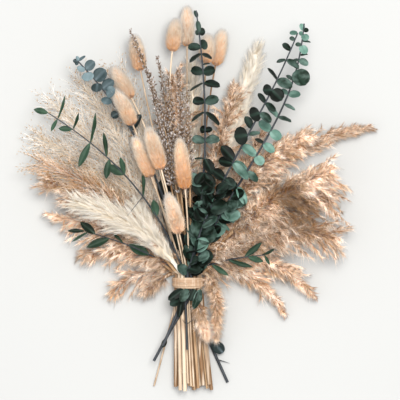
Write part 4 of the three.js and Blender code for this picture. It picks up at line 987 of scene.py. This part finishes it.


# plumes: side branches on the stem, then hairs and grains on every branch

# Branches: how far below the head they start (early) and how many there are to a millimetre, the share of
# short ones, what is added to the plume's spread, how long they are at the foot and how that grows, and how
# they get shorter towards the tip (taper). Then their angles to the stem, how flat the plume is, how the
# branches lean, sweep forward, droop and stray, and where on the stem the last one is (final).
# Hairs: tufts to a branch and hairs to a tuft, and how wide both open. Body is the radius of a soft core,
# and shade is what the tone gains at the foot and at the tip. The patches are painted shade: spots where the
# tone of the hairs is lowered, as if the plume lay in shadow there.
down = unit(np.array([0.0, -0.96, -0.12]))  # the way the plumes hang in the photograph
plumes = {
    "reed": {
        "strand": strandStraight, "finishes": ("reedHair", "reedGrain"), "stemFinish": "spikeStem",
        "early": 60, "perMm": 0.66, "short": 0.34, "extra": 20, "grow": (0.6, 1.6), "taper": 0.6,
        "baseAngle": 52, "tipAngle": 30, "flat": 0.95, "lean": 0.1, "sweep": 0.25, "droop": 0.6,
        "wild": 0.15, "branchRadius": 0.24, "tufts": 24, "hairs": 5, "tuftOpen": 0.36, "hairOpen": 0.13,
        "hairLength": 13.5, "hairRadius": 0.15, "hairDroop": 0.2, "hairTaper": 0.2,
        "grainLength": 8, "grainWidth": 0.26, "grainShare": 0.28,
        "final": 0.9, "body": 0, "shade": (0, 0), "paintedShadePatches": [],
    },
    "pampas": {
        "strand": strandBent, "finishes": ("creamHair",), "stemFinish": "creamHair",
        "early": 74, "perMm": 2.3, "short": 0.15, "extra": 6, "grow": (0.5, 1.3), "taper": 0.45,
        "baseAngle": 14, "tipAngle": 34, "flat": 0.85, "lean": 0.0, "sweep": 0.3, "droop": 0.05,
        "wild": 0.16, "branchRadius": 0.18, "tufts": 8, "hairs": 4, "tuftOpen": 0.08, "hairOpen": 0.07,
        "hairLength": 24, "hairRadius": 0.16, "hairDroop": 0.03, "hairTaper": 0.5,
        "grainLength": 0, "grainWidth": 0, "grainShare": 0,
        "final": 1.0, "body": 4.2, "shade": (0, 0), "paintedShadePatches": [],
    },
    "airy": {
        "strand": strandBent, "finishes": ("airyHair", "airyGrain"), "stemFinish": "airyHair",
        "early": 40, "perMm": 0.7, "short": 0, "extra": -1, "grow": (0.7, 0.8), "taper": 0.5,
        "baseAngle": 22, "tipAngle": 30, "flat": 0.8, "lean": 0.0, "sweep": 0.3, "droop": 0.1,
        "wild": 0.14, "branchRadius": 0.27, "tufts": 10, "hairs": 1, "tuftOpen": 0.26, "hairOpen": 0.1,
        "hairLength": 19, "hairRadius": 0.17, "hairDroop": 0.04, "hairTaper": 0.4,
        "grainLength": 2.0, "grainWidth": 0.42, "grainShare": 0.7,
        "final": 0.94, "body": 0, "shade": (0, 0), "paintedShadePatches": [],
    },
}
# x, y, size and depth of the patches of painted shade on the plumes at the right, where the hairs fold over
# and their tone is darkened as if they lay in shadow
paintedShadeOnRightPlumes = [(72, 112, 12, 0.8), (90, 106, 11, 1.1), (106, 96, 11, 1.7), (121, 81, 12, 2.2),
            (134, 66, 12, 2.0)]
slimEnd = {"taper": 0.85, "tipAngle": 14}
plumeChanges = {
    # the darker foot of the middle plume at the right is painted shade as well
    "reed_right_middle": {"extra": 30, "droop": 0.9, "taper": 0.35, "tipAngle": 48, "final": 0.82,
                          "early": 120, "shade": (-0.4, 0.1), "paintedShadePatches": paintedShadeOnRightPlumes},
    "reed_right_upper": {"extra": 28, "droop": 0.8, "taper": 0.4, "tipAngle": 46, "final": 0.84,
                         "early": 150, "short": 0.62, "perMm": 0.95, "shade": (-0.05, 0.1),
                         "paintedShadePatches": paintedShadeOnRightPlumes},
    "reed_right_droop": {"extra": 20, "droop": 0.35, "taper": 0.4, "tipAngle": 44, "final": 0.8, "early": 90,
                         "shade": (0, 0.15), "paintedShadePatches": paintedShadeOnRightPlumes},
    "reed_right_top": {**slimEnd, "extra": 17, "final": 0.98, "hairTaper": 0.5, "early": 110,
                       "droop": -0.25},
    "reed_right_low": {**slimEnd, "extra": 10, "final": 1.0, "hairTaper": 0.65, "short": 0.15, "perMm": 0.5,
                       "droop": 0.3},
    "reed_right_hang": {**slimEnd, "extra": 5, "final": 1.0, "hairTaper": 0.65, "short": 0.15, "perMm": 0.5,
                        "droop": 0.1},
    # the darker tone of this plume, which lies under the stems, is painted shade
    "reed_under_tie": {"extra": 2, "tuftOpen": 0.62, "hairOpen": 0.2, "hairRadius": 0.13, "hairs": 6,
                       "grainShare": 0.15, "perMm": 0.34, "short": 0.1, "taper": 0.5, "hairTaper": 0.3,
                       "droop": 0.3, "wild": 0.35, "shade": (-0.4, 0)},
    "reed_left_short": {"perMm": 0.38, "tufts": 17, "extra": 2, "droop": 0.2},
    "reed_left_band": {"extra": 24, "droop": 0.35},
    "reed_left_low": {"perMm": 0.4, "tufts": 22, "shade": (0.1, 0.2)},
    "reed_left_droop": {"perMm": 0.34, "tufts": 19, "extra": 10, "shade": (0.1, 0.2)},
    "reed_left_hang": {"perMm": 0.34, "tufts": 17, "extra": 6, "droop": 0.1, "final": 1.0,
                       "shade": (0.1, 0.2)},
    "pampas_front": {"hairTaper": 0.75, "early": 92, "perMm": 2.0},
    "pampas_back_right": {"extra": -2, "body": 7.5, "perMm": 2.2, "tipAngle": 26},
    "pampas_back_middle": {"extra": -4, "body": 4, "perMm": 1.3},
    "airy_side": {"extra": -6}, "airy_middle": {"extra": -4}, "airy_top": {"extra": -8},
    "airy_upper": {"extra": -6},
    "airy_low": {"finishes": ("reedHair", "airyGrain"), "shade": (-0.5, -0.15), "extra": -4},
}
# a second tuft at the side of a plume: foot, end and spread
lobes = {
    "pampas_front": [((-26, 26, 46), (-58, 86, 46), 10)],
    "reed_right_top": [((38, 82, 22), (84, 168, 20), 6)],
    "reed_under_tie": [((11, -16, 37), (21, -64, 33), 5)],
}
branching = {"turn": 2.4, "turnStray": 0.4, "angleStray": 5, "taperPower": 2.2, "length": (0.65, 1.15),
             "shortLength": 0.4, "tone": (0.5, 0.2), "lobePoints": 20}
tufting = {"bare": 0.08, "length": (0.6, 1.15), "rootStray": 0.3, "branchTone": 0.6, "tuftTone": (0.2, 0.3),
           "hairTone": 0.16, "paintedShadeDepth": (0.3, 1), "onBranch": 0.45, "onHair": 0.6, "branchReach": (0.1, 0.6),
           "grainReach": (0.2, 1.0), "thickness": (0.7, 1.2)}


def lookOf(route):
    return {**plumes[route["kind"]], **plumeChanges.get(route["name"], {})}


def plumeStart(route, look):
    return max(route["below"] + 5, route["headStart"] - look["early"] / running["step"])


def growBranches(route, look, draw):
    last = len(route["points"]) - 1
    start = plumeStart(route, look)
    count = round((last - start) * running["step"] * look["perMm"])
    share = (np.arange(count) + draw.random(count)) / count
    root, ahead, side, above = station(route, start + share * look["final"] * (last - start))
    turn = branching["turn"] * np.arange(count) + draw.normal(0, branching["turnStray"], count)
    outward = np.cos(turn)[:, None] * side + np.sin(turn)[:, None] * above * look["flat"]
    outward = unit(outward + look["lean"] * down)
    angle = np.radians(look["baseAngle"] + (look["tipAngle"] - look["baseAngle"]) * share
                       + draw.normal(0, branching["angleStray"], count))[:, None]
    length = ((route["spread"] + look["extra"])
              * np.minimum(1, look["grow"][0] + look["grow"][1] * share)
              * (1 - look["taper"] * share ** branching["taperPower"])
              * draw.uniform(*branching["length"], count))[:, None]
    isShort = (draw.random(count) < look["short"])[:, None]  # short branches hide the stem
    length = np.where(isShort, branching["shortLength"] * length, length)
    way = ahead * np.cos(angle) + outward * np.sin(angle)
    bent = unit(way + look["sweep"] * ahead + np.where(isShort, 0, look["droop"]) * down
                + draw.normal(0, look["wild"], (count, 3)))
    middle = root + way * length * 0.5
    shadeFoot, shadeTip = look["shade"]
    tone = np.clip(draw.normal(*branching["tone"], count) + shadeFoot + (shadeTip - shadeFoot) * share, 0, 1)
    return (root, middle, middle + bent * length * 0.5), tone, share


def growHairs(bends, tone, reachOut, look, draw):
    # the hairs with their tone and reach, then the tufts with their place, way and tone
    branches, tufts, hairs = len(tone), look["tufts"], look["hairs"]
    along = (np.arange(tufts) + draw.random((branches, tufts))) / tufts
    share = along * (1 - tufting["bare"]) + tufting["bare"]
    place, way = bendAt(bends, share)
    tuftWay = unit(way + draw.normal(0, look["tuftOpen"], way.shape))
    hairWay = unit(tuftWay[:, :, None] + draw.normal(0, look["hairOpen"], (branches, tufts, hairs, 3)))
    length = (look["hairLength"] * draw.uniform(*tufting["length"], (branches, tufts, hairs, 1))
              * (1 - look["hairTaper"] * reachOut ** 3)[:, None, None, None])
    root = place[:, :, None] + draw.normal(0, tufting["rootStray"], hairWay.shape)
    tip = root + hairWay * length + look["hairDroop"] * length * down
    middle = root + hairWay * length * 0.5
    shade = tufting["branchTone"] * tone[:, None] + draw.normal(*tufting["tuftTone"], (branches, tufts))
    # painted shade: the tone of the tufts drops in the patches where the plumes lie in shadow
    for x, y, size, depth in look["paintedShadePatches"]:
        shade = shade - (depth * draw.uniform(*tufting["paintedShadeDepth"], shade.shape)
                         * np.exp(-((place[..., 0] - x) ** 2 + (place[..., 1] - y) ** 2) / size ** 2))
    shade = np.clip(shade, 0, 1)
    ofHairs = np.clip(shade[..., None] + draw.normal(0, tufting["hairTone"], (branches, tufts, hairs)), 0, 1)
    reach = np.broadcast_to(share[..., None] * tufting["onBranch"], (branches, tufts, hairs))
    strands = [points.reshape(-1, 3) for points in (root, middle, tip)]
    ofTufts = place.reshape(-1, 3), tuftWay.reshape(-1, 3), shade.ravel()
    return strands, ofHairs.ravel(), reach.ravel(), ofTufts


# hairs keep off the leaves that lie over their plume
leafMap = {"cell": 1.6, "cells": 400, "clear": 0.5}


def leafCellOf(places):
    cell = (places[:, :2] / leafMap["cell"] + leafMap["cells"] / 2).astype(int)
    return np.clip(cell, 1, leafMap["cells"] - 2).T


def mapLeaves(parts):
    # the lowest and the highest leaf over each cell of the table
    lowest = np.full((leafMap["cells"], leafMap["cells"]), np.inf)
    highest = -lowest
    points = np.concatenate([part["points"] for part in parts])
    column, row = leafCellOf(points)
    for across in (-1, 0, 1):
        for along in (-1, 0, 1):
            np.minimum.at(lowest, (column + across, row + along), points[:, 2])
            np.maximum.at(highest, (column + across, row + along), points[:, 2])
    return lowest, highest


def clearOfLeaves(rootHeight, *places):
    # which hairs have no point on top of a leaf that lies above the hair's root
    clear = np.ones(len(places[0]), bool)
    for place in places:
        cell = tuple(leafCellOf(place))
        clear &= (place[:, 2] < lowestLeaf[cell] - leafMap["clear"]) | (rootHeight > highestLeaf[cell])
    return clear


def roundAbout(side, above, turn):
    return side * np.cos(turn) + above * np.sin(turn)


def roundCore(route, start, length, radiusAt, reach, tone):
    # a round body along the route, closed to a point at both ends
    points, triangles = tailCore
    share = np.clip(points[:, 2], 0, 1)
    place, _, side, above = station(route, start + share * length)
    turn = np.arctan2(points[:, 1], points[:, 0])[:, None]
    isPole = (np.hypot(points[:, 0], points[:, 1]) < 1e-4)[:, None]
    radius = np.where(isPole, 0, radiusAt(share)[:, None])
    corners = place + radius * roundAbout(side, above, turn)
    return makePart(corners[None], triangles, reach, [tone])


def growPlume(route):
    look = lookOf(route)
    draw = np.random.default_rng(100 + route["index"])
    bends, tone, reachOut = growBranches(route, look, draw)
    for foot, end, spread in lobes.get(route["name"], []):
        lobe = {**route, "points": np.linspace(foot, end, branching["lobePoints"]), "spread": spread,
                "below": -6, "headStart": 0}
        more = growBranches(lobe, {**look, "early": 0}, draw)
        bends = [np.concatenate(pair) for pair in zip(bends, more[0])]
        tone, reachOut = np.concatenate((tone, more[1])), np.concatenate((reachOut, more[2]))
    hairs, shade, reach, tufts = growHairs(bends, tone, reachOut, look, draw)
    radius = look["hairRadius"] * draw.uniform(*tufting["thickness"], len(shade))
    rootHeight = bends[0][:, 2]
    tuftRoot = np.repeat(rootHeight, look["tufts"])
    clear = clearOfLeaves(rootHeight, bends[0], (bends[0] + bends[1]) / 2, bends[1],
                          (bends[1] + bends[2]) / 2, bends[2])
    bends, tone = [place[clear] for place in bends], tone[clear]
    hairRoot = np.repeat(tuftRoot, look["hairs"])
    clear = clearOfLeaves(hairRoot, *hairs)
    hairs = [place[clear] for place in hairs]
    shade, reach, radius = shade[clear], reach[clear], radius[clear]
    parts = [bendStrands(strandLong, bends, look["branchRadius"], tone, *tufting["branchReach"]),
             bendStrands(look["strand"], hairs, radius, shade, reach,
                         np.minimum(1, reach + tufting["onHair"]))]
    if look["grainLength"]:
        place, way, grainTone = tufts
        if route["kind"] == "airy":  # a seed at the end of each hair
            place, way, grainTone = hairs[2], unit(hairs[2] - hairs[0]), shade
            tuftRoot = hairRoot[clear]
        kept = draw.random(len(place)) < look["grainShare"]
        kept &= clearOfLeaves(tuftRoot, place, place + way * look["grainLength"])
        place, way, grainTone = place[kept], way[kept], grainTone[kept]
        size = draw.uniform(*tufting["thickness"], len(place))[:, None] * [
            look["grainWidth"], look["grainWidth"], look["grainLength"]]
        parts.append(stampShape(grainSlim, place, way, size, grainTone, draw.normal(size=way.shape),
                                *tufting["grainReach"], finish=1))
    if look["body"]:  # the thick of a silky plume, which the hairs cover
        start = plumeStart(route, look)
        parts.append(roundCore(
            route, start, len(route["points"]) - 1 - start,
            lambda share: look["body"] * np.sqrt(np.sin(np.pi * (0.04 + 0.86 * share ** 0.8))), 0.5, 0.5))
    return meshFrom(route["name"] + "Head", parts, look["finishes"])


# which finish the stem of a kind has, and how pale it is
stemLook = {"reed": ("straw", 0.55), "pampas": ("straw", 0.75), "airy": ("straw", 0.6),
            "bunnyTail": ("straw", 0.6), "spike": ("spikeStem", 0.5)}
stemStray = {"by": 1.5, "around": 0.55}


def nearest(route, place):
    # the station of the route that is closest to a place given in metres
    return int(np.argmin(np.sum((route["points"] - np.array(place) / mm) ** 2, axis=1)))


def grassStem(route):
    kind, headStart = route["kind"], route["headStart"]
    stalkRadius = kinds[kind][0]
    last = len(route["points"]) - 1
    finish, tone = stemLook[kind]
    tone += stemStray["by"] * (chance(route["index"], 5) - stemStray["around"])

    def radiusAt(at):
        share = max(0, at - headStart) / max(1, last - headStart)
        return stalkRadius * (1 - 0.35 * min(1, share * 6) - 0.5 * share)

    if kind in plumes:  # the stem ends with its last side branch
        look = lookOf(route)
        start = headStart - look["early"] / running["step"]
        cut = math.ceil(start + look["final"] * (last - start)) + 1
        route = {**route, "points": route["points"][:cut + 1]}
    isThick = stalkRadius > stems["jointed"]
    stem = layStem(route, float(np.clip(tone, 0, 1)), radiusAt, isThick)
    stem.data.materials.append(finishes[finish])
    if kind in plumes:  # inside the plume the stem is as brown or as pale as what grows on it
        stem.data.materials.append(finishes[look["stemFinish"]])
        for face in stem.data.polygons:
            face.material_index = int(face.center[1] > stems["pastTie"] * mm
                                      and nearest(route, face.center) > start + 4)
    if isThick:
        hollowCutEnd(stem, route)
    return stem


# bunny tails: an egg-shaped core under short soft hairs

bunnyTail = {"hairs": 3600, "length": (6.5, 10.0), "angle": (50, 16), "angleStray": 7, "radius": 0.14,
             "under": 0.9, "foot": 0.3, "tone": (0.5, 0.22)}
# how pale the foot of a head is, for those that differ from the rest; the pale foot of the top tail is
# painted light that lifts it out of the shade it lies in
tailFeet = {"bunny_middle": 0.1, "bunny_left_upper": 0.5, "bunny_front": 0.48, "bunny_left": 0.45,
            "bunny_top": 0.8, "bunny_right": 0.42}


def tailRadius(share):
    stalkRadius, core, _ = kinds["bunnyTail"]
    return stalkRadius + (core - stalkRadius) * np.sqrt(np.sin(np.pi * (0.03 + 0.9 * share)))


def growTail(route):
    draw = np.random.default_rng(300 + route["index"])
    headStart, count, under = route["headStart"], bunnyTail["hairs"], bunnyTail["under"]
    length = len(route["points"]) - 1 - headStart
    core = roundCore(route, headStart, length, lambda share: under * tailRadius(share), 0.25, 0.4)
    share = draw.random(count) ** 1.2
    place, ahead, side, above = station(route, headStart + share * length)
    outward = roundAbout(side, above, draw.random(count)[:, None] * 2 * np.pi)
    rounding = np.sqrt(1 - share ** 10)
    root = place + outward * (tailRadius(share) * under * 0.95 * rounding)[:, None]
    first, final = bunnyTail["angle"]
    angle = np.radians(first + (final - first) * share
                       + draw.normal(0, bunnyTail["angleStray"], count))[:, None]
    way = unit(ahead * np.cos(angle) + outward * np.sin(angle) + draw.normal(0, 0.1, (count, 3)))
    reach = (draw.uniform(*bunnyTail["length"], count) * (1 - 0.2 * share ** 6))[:, None]
    middle = root + way * reach * 0.5
    tip = middle + unit(way + 0.35 * ahead) * reach * 0.5
    tone = np.clip(draw.normal(*bunnyTail["tone"], count), 0, 1)
    foot = tailFeet.get(route["name"], bunnyTail["foot"])
    hairs = bendStrands(strandStraight, (root, middle, tip), bunnyTail["radius"], tone,
                        0.05 + 0.35 * share, np.minimum(1, foot + 0.7 * share))
    return meshFrom(route["name"] + "Head", [core, hairs], ["bunnyHair"])


# flower spikes: whorls of small buds with paler open ends

flowerSpike = {"whorlEvery": 3.2, "buds": 6, "budLength": 4.6, "budWidth": 0.85, "angle": 38,
               "angleStray": 14, "stalk": (0.6, 4.2), "stalkRadius": 0.22, "tone": (0.5, 0.28)}


def growSpike(route):
    draw = np.random.default_rng(500 + route["index"])
    length = len(route["points"]) - 1 - route["headStart"]
    whorls = round(length * running["step"] / flowerSpike["whorlEvery"])
    share = np.repeat((np.arange(whorls) + 0.5) / whorls, flowerSpike["buds"])
    count = len(share)
    place, ahead, side, above = station(route, route["headStart"] + share * length)
    outward = roundAbout(side, above, draw.random(count)[:, None] * 2 * np.pi)
    angle = np.radians(flowerSpike["angle"] + draw.normal(0, flowerSpike["angleStray"], count))[:, None]
    way = unit(ahead * np.cos(angle) + outward * np.sin(angle))
    stalk = draw.uniform(*flowerSpike["stalk"], count)[:, None] * (1.15 - 0.5 * share)[:, None]
    foot = place + ahead * draw.normal(0, 0.8, count)[:, None]
    base = foot + way * stalk
    size = (draw.uniform(0.75, 1.25, count) * (1.1 - 0.45 * share))[:, None] * [
        flowerSpike["budWidth"], flowerSpike["budWidth"], flowerSpike["budLength"]]
    tone = np.clip(draw.normal(*flowerSpike["tone"], count), 0, 1)
    buds = stampShape(budRound, base, way, size, tone, draw.normal(size=way.shape))
    stalks = bendStrands(strandStraight, (foot, (foot + base) / 2, base + way), flowerSpike["stalkRadius"],
                         tone, 0, 0.3)
    return meshFrom(route["name"] + "Head", [buds, stalks], ["spikeBud"])


# eucalyptus and sprigs: leaves in the places found above

# finish, how pale the leaves are at the foot and at the tip of the branch, and how much that varies; the
# paleness is partly painted reflection, on the outer leaves that face the light
leafLook = {
    "eucalyptus_middle": ("eucalyptusLeaf", 0.1, 0.25, 0.12),
    "eucalyptus_right_inner": ("eucalyptusLeaf", 0.05, 0.55, 0.34),
    "eucalyptus_right_outer": ("eucalyptusLeaf", 0.2, 0.7, 0.36),
    "eucalyptus_left": ("blueLeaf", 0.3, 0.7, 0.25),
    "sprig_left_upper": ("narrowLeaf", 0.45, 0.5, 0.2), "sprig_left_low": ("narrowLeaf", 0.3, 0.4, 0.2),
    "sprig_right": ("narrowLeaf", 0.3, 0.4, 0.2),
}
# leaves that fill the branches near the tie: from, to, step, size, and the side that they favour
fillLeaves = {
    "eucalyptus_middle": (10, 118, 6.5, 21, 32), "eucalyptus_right_inner": (8, 120, 6.5, 21, 28),
    "eucalyptus_right_outer": (8, 110, 7, 21, 24),
}
filling = {"stray": (-28, 28), "lean": (20, 62), "long": (0.8, 1.15), "broad": (0.55, 0.75),
           "paleShare": 0.28, "pale": (0.65, 0.15), "dark": (0.1, 0.1)}
# leaves over the stems and over gaps: from and to, width, and tone. The four dark ones on the middle branch
# are painted shade: dark sheets laid in the gaps between the stems under the bunny tails.
coverAndShadeLeaves = {
    "eucalyptus_right_inner": [
        ((-5, -7, 35), (-22, -19, 36), 10, 0.05), ((0, -7, 36), (-8, -21, 39), 10, 0.5),
        ((-6, -14, 36), (-10, -38, 36), 8, 0.02)],
    "eucalyptus_right_outer": [
        ((14, -7, 35), (6, -29, 38), 9, 0.55), ((8, -7, 36), (2, -20, 38), 10, 0.05),
        ((12, -8, 36), (13, -22, 37), 7, 0.3)],
    "eucalyptus_left": [((39, -79, 10), (28, -66, 14), 13, 0.02)],
    "eucalyptus_middle": [
        ((-8, 36, 31), (-17, 62, 31), 17, 0), ((-12, 58, 32), (-24, 88, 32), 19, 0),
        ((-18, 86, 32), (-30, 114, 32), 17, 0), ((-5, 64, 32), (-9, 96, 32), 16, 0)],
}


def extraLeaves(route, draw):
    # more leaves near the tie, on the upper side of the branch, and the ones over the stems, whose dark ones
    # on the middle branch are painted shade
    leaves = []
    if route["name"] in fillLeaves:
        first, final, step, size, favour = fillLeaves[route["name"]]
        for reach in np.arange(first, final, step):
            at = route["below"] + reach / running["step"]
            base, ahead, side, above = (way[0] for way in station(route, at))
            turned = math.radians(draw.choice((favour, 180 - favour)) + draw.uniform(*filling["stray"]))
            lean = math.radians(draw.uniform(*filling["lean"]))
            outward = side * math.cos(turned) + above * math.sin(turned)
            way = outward * math.cos(lean) + ahead * math.sin(lean)
            long = size * draw.uniform(*filling["long"])
            isPale = draw.random() < filling["paleShare"]
            tone = draw.normal(*filling["pale" if isPale else "dark"])
            leaves.append({
                "base": base, "end": base + way * long, "width": long * draw.uniform(*filling["broad"]),
                "facing": 0.6 * ahead + up * draw.uniform(0.8, 2) + side * draw.uniform(-0.5, 0.5),
                "tone": float(np.clip(tone, 0, 1))})
    for base, end, width, tone in coverAndShadeLeaves.get(route["name"], []):
        leaves.append({"base": np.array(base, float), "end": np.array(end, float), "width": width,
                       "facing": up + np.array([0, draw.uniform(-0.2, 0.2), 0]), "tone": tone})
    return leaves


def growLeaf(leaf, shape, tone, draw):
    points, triangles = shape
    along = leaf["end"] - leaf["base"]
    length = np.linalg.norm(along)
    way = along / length
    across = unit(np.cross(way, leaf["facing"]))
    curl = draw.uniform(0.6, 1.5)
    normal = np.cross(across, way)
    corners = (leaf["base"] + points[:, :1] * leaf["width"] * across
               + points[:, 1:2] * along + points[:, 2:] * length * curl * normal)
    rib = np.exp(-(points[:, 0] * 16) ** 2) * (1 - points[:, 1] * 0.6)
    return makePart(corners[None], triangles, points[:, 1], [tone], 0, rib)


def growLeaves(route):
    draw = np.random.default_rng(700 + route["index"])
    _, toneFoot, toneTip, toneSpread = leafLook[route["name"]]
    shape = leafRound if route["kind"] == "dollarLeaf" else leafNarrow
    foot = route["points"][route["below"]]
    reachEnd = np.linalg.norm(route["points"][-1] - foot)
    parts = []
    for leaf in leavesOf[route["name"]] + extraLeaves(route, draw):
        base, end = leaf["base"], leaf["end"]
        share = np.linalg.norm(base - foot) / reachEnd
        usual = float(np.clip(draw.normal(toneFoot + (toneTip - toneFoot) * share, toneSpread), 0, 1))
        tone = leaf.get("tone", 0.1 if base[1] < 0 else usual)
        if leaf["width"] < 3:  # a bare twig
            bent = (base[None], (base + (end - base) * 0.55)[None], end[None])
            parts.append(bendStrands(strandLong, bent, max(0.45, leaf["width"] * 0.35), [0.4], finish=1))
        else:
            parts.append(growLeaf(leaf, shape, tone, draw))
    return parts


def joinLeaves(route):
    name = route["name"]
    return meshFrom(name + "Leaves", leafParts[name], [leafLook[name][0], "darkStem"])


def branchStem(route):
    stalkRadius, core, _ = kinds[route["kind"]]
    last = len(route["points"]) - 1

    def radiusAt(at):
        share = max(0, (at - route["below"]) / (last - route["below"]))
        return stalkRadius + (core * 0.7 - stalkRadius) * share

    stem = layStem(route, 0.5, radiusAt, False)
    stem.data.materials.append(finishes["darkStem"])
    if route["name"] not in cutEnds:  # below the tie it is as pale as the other stems
        stem.data.materials.append(finishes["spikeStem"])
        for face in stem.data.polygons:
            face.material_index = int(face.center[1] < -stems["pastTie"] * mm)
    return stem


# the tie: flat raffia strands wound round the stems

raffia = {"turns": 6, "width": 3.2, "thick": 0.5, "layers": 3, "wave": 0.5, "band": 11.0, "tilt": 1.2,
          "inset": 0.25, "ripple": 0.12, "tube": 0.1}


def windTie():
    draw = np.random.default_rng(900)
    tube, thick, width = raffia["tube"], raffia["thick"], raffia["width"]
    strands = []
    for turn in range(raffia["turns"]):
        clearSelection()
        bpy.ops.mesh.primitive_torus_add(major_segments=72, minor_segments=10, major_radius=1,
                                         minor_radius=tube)
        strand = bpy.context.object
        mesh = strand.data
        layer = (turn * 2) % raffia["layers"]
        offset = (turn / (raffia["turns"] - 1) - 0.5) * (raffia["band"] - width)
        tilt, phase = draw.uniform(-raffia["tilt"], raffia["tilt"]), draw.uniform(0, 6.28)
        for vertex in mesh.vertices:
            around = math.atan2(vertex.co.y, vertex.co.x)
            outward = (math.hypot(vertex.co.x, vertex.co.y) - 1) / tube
            sideways = vertex.co.z / tube
            wave = raffia["wave"] * math.sin(3 * around + phase)
            proud = -thick * (raffia["layers"] - layer) - raffia["inset"] + outward * thick * 0.5
            across = offset + tilt * math.sin(around) + wave * 0.4 + sideways * width * 0.5
            proud += raffia["ripple"] * math.sin(5 * around + turn) * (1 - sideways ** 2)
            height = tieHeight + (tie["halfHeight"] + proud) * math.sin(around)
            vertex.co = ((tie["halfWidth"] + proud) * math.cos(around) * mm, across * mm,
                         max(height, 0.05 + 0.12 * (outward + 1)) * mm)
        setValue(mesh, "tone", draw.uniform(0.2, 0.95))
        mesh.materials.append(finishes["raffia"])
        strands.append(strand)
    return strands


growHead = {"reed": growPlume, "pampas": growPlume, "airy": growPlume, "bunnyTail": growTail,
            "spike": growSpike}


def arrangeBunch():
    for route in routes:
        kind = route["kind"]
        if kind in leafKinds:
            pieces = [branchStem(route), joinLeaves(route)]
        else:
            pieces = [grassStem(route), growHead[kind](route)]
        joinPiece(route["name"] + "_plant", route["name"], pieces)
    joinPiece("raffiaTie", "tie", windTie())


leafParts = {route["name"]: growLeaves(route) for route in routes if route["kind"] in leafKinds}
lowestLeaf, highestLeaf = mapLeaves(sum(leafParts.values(), []))
arrangeBunch()
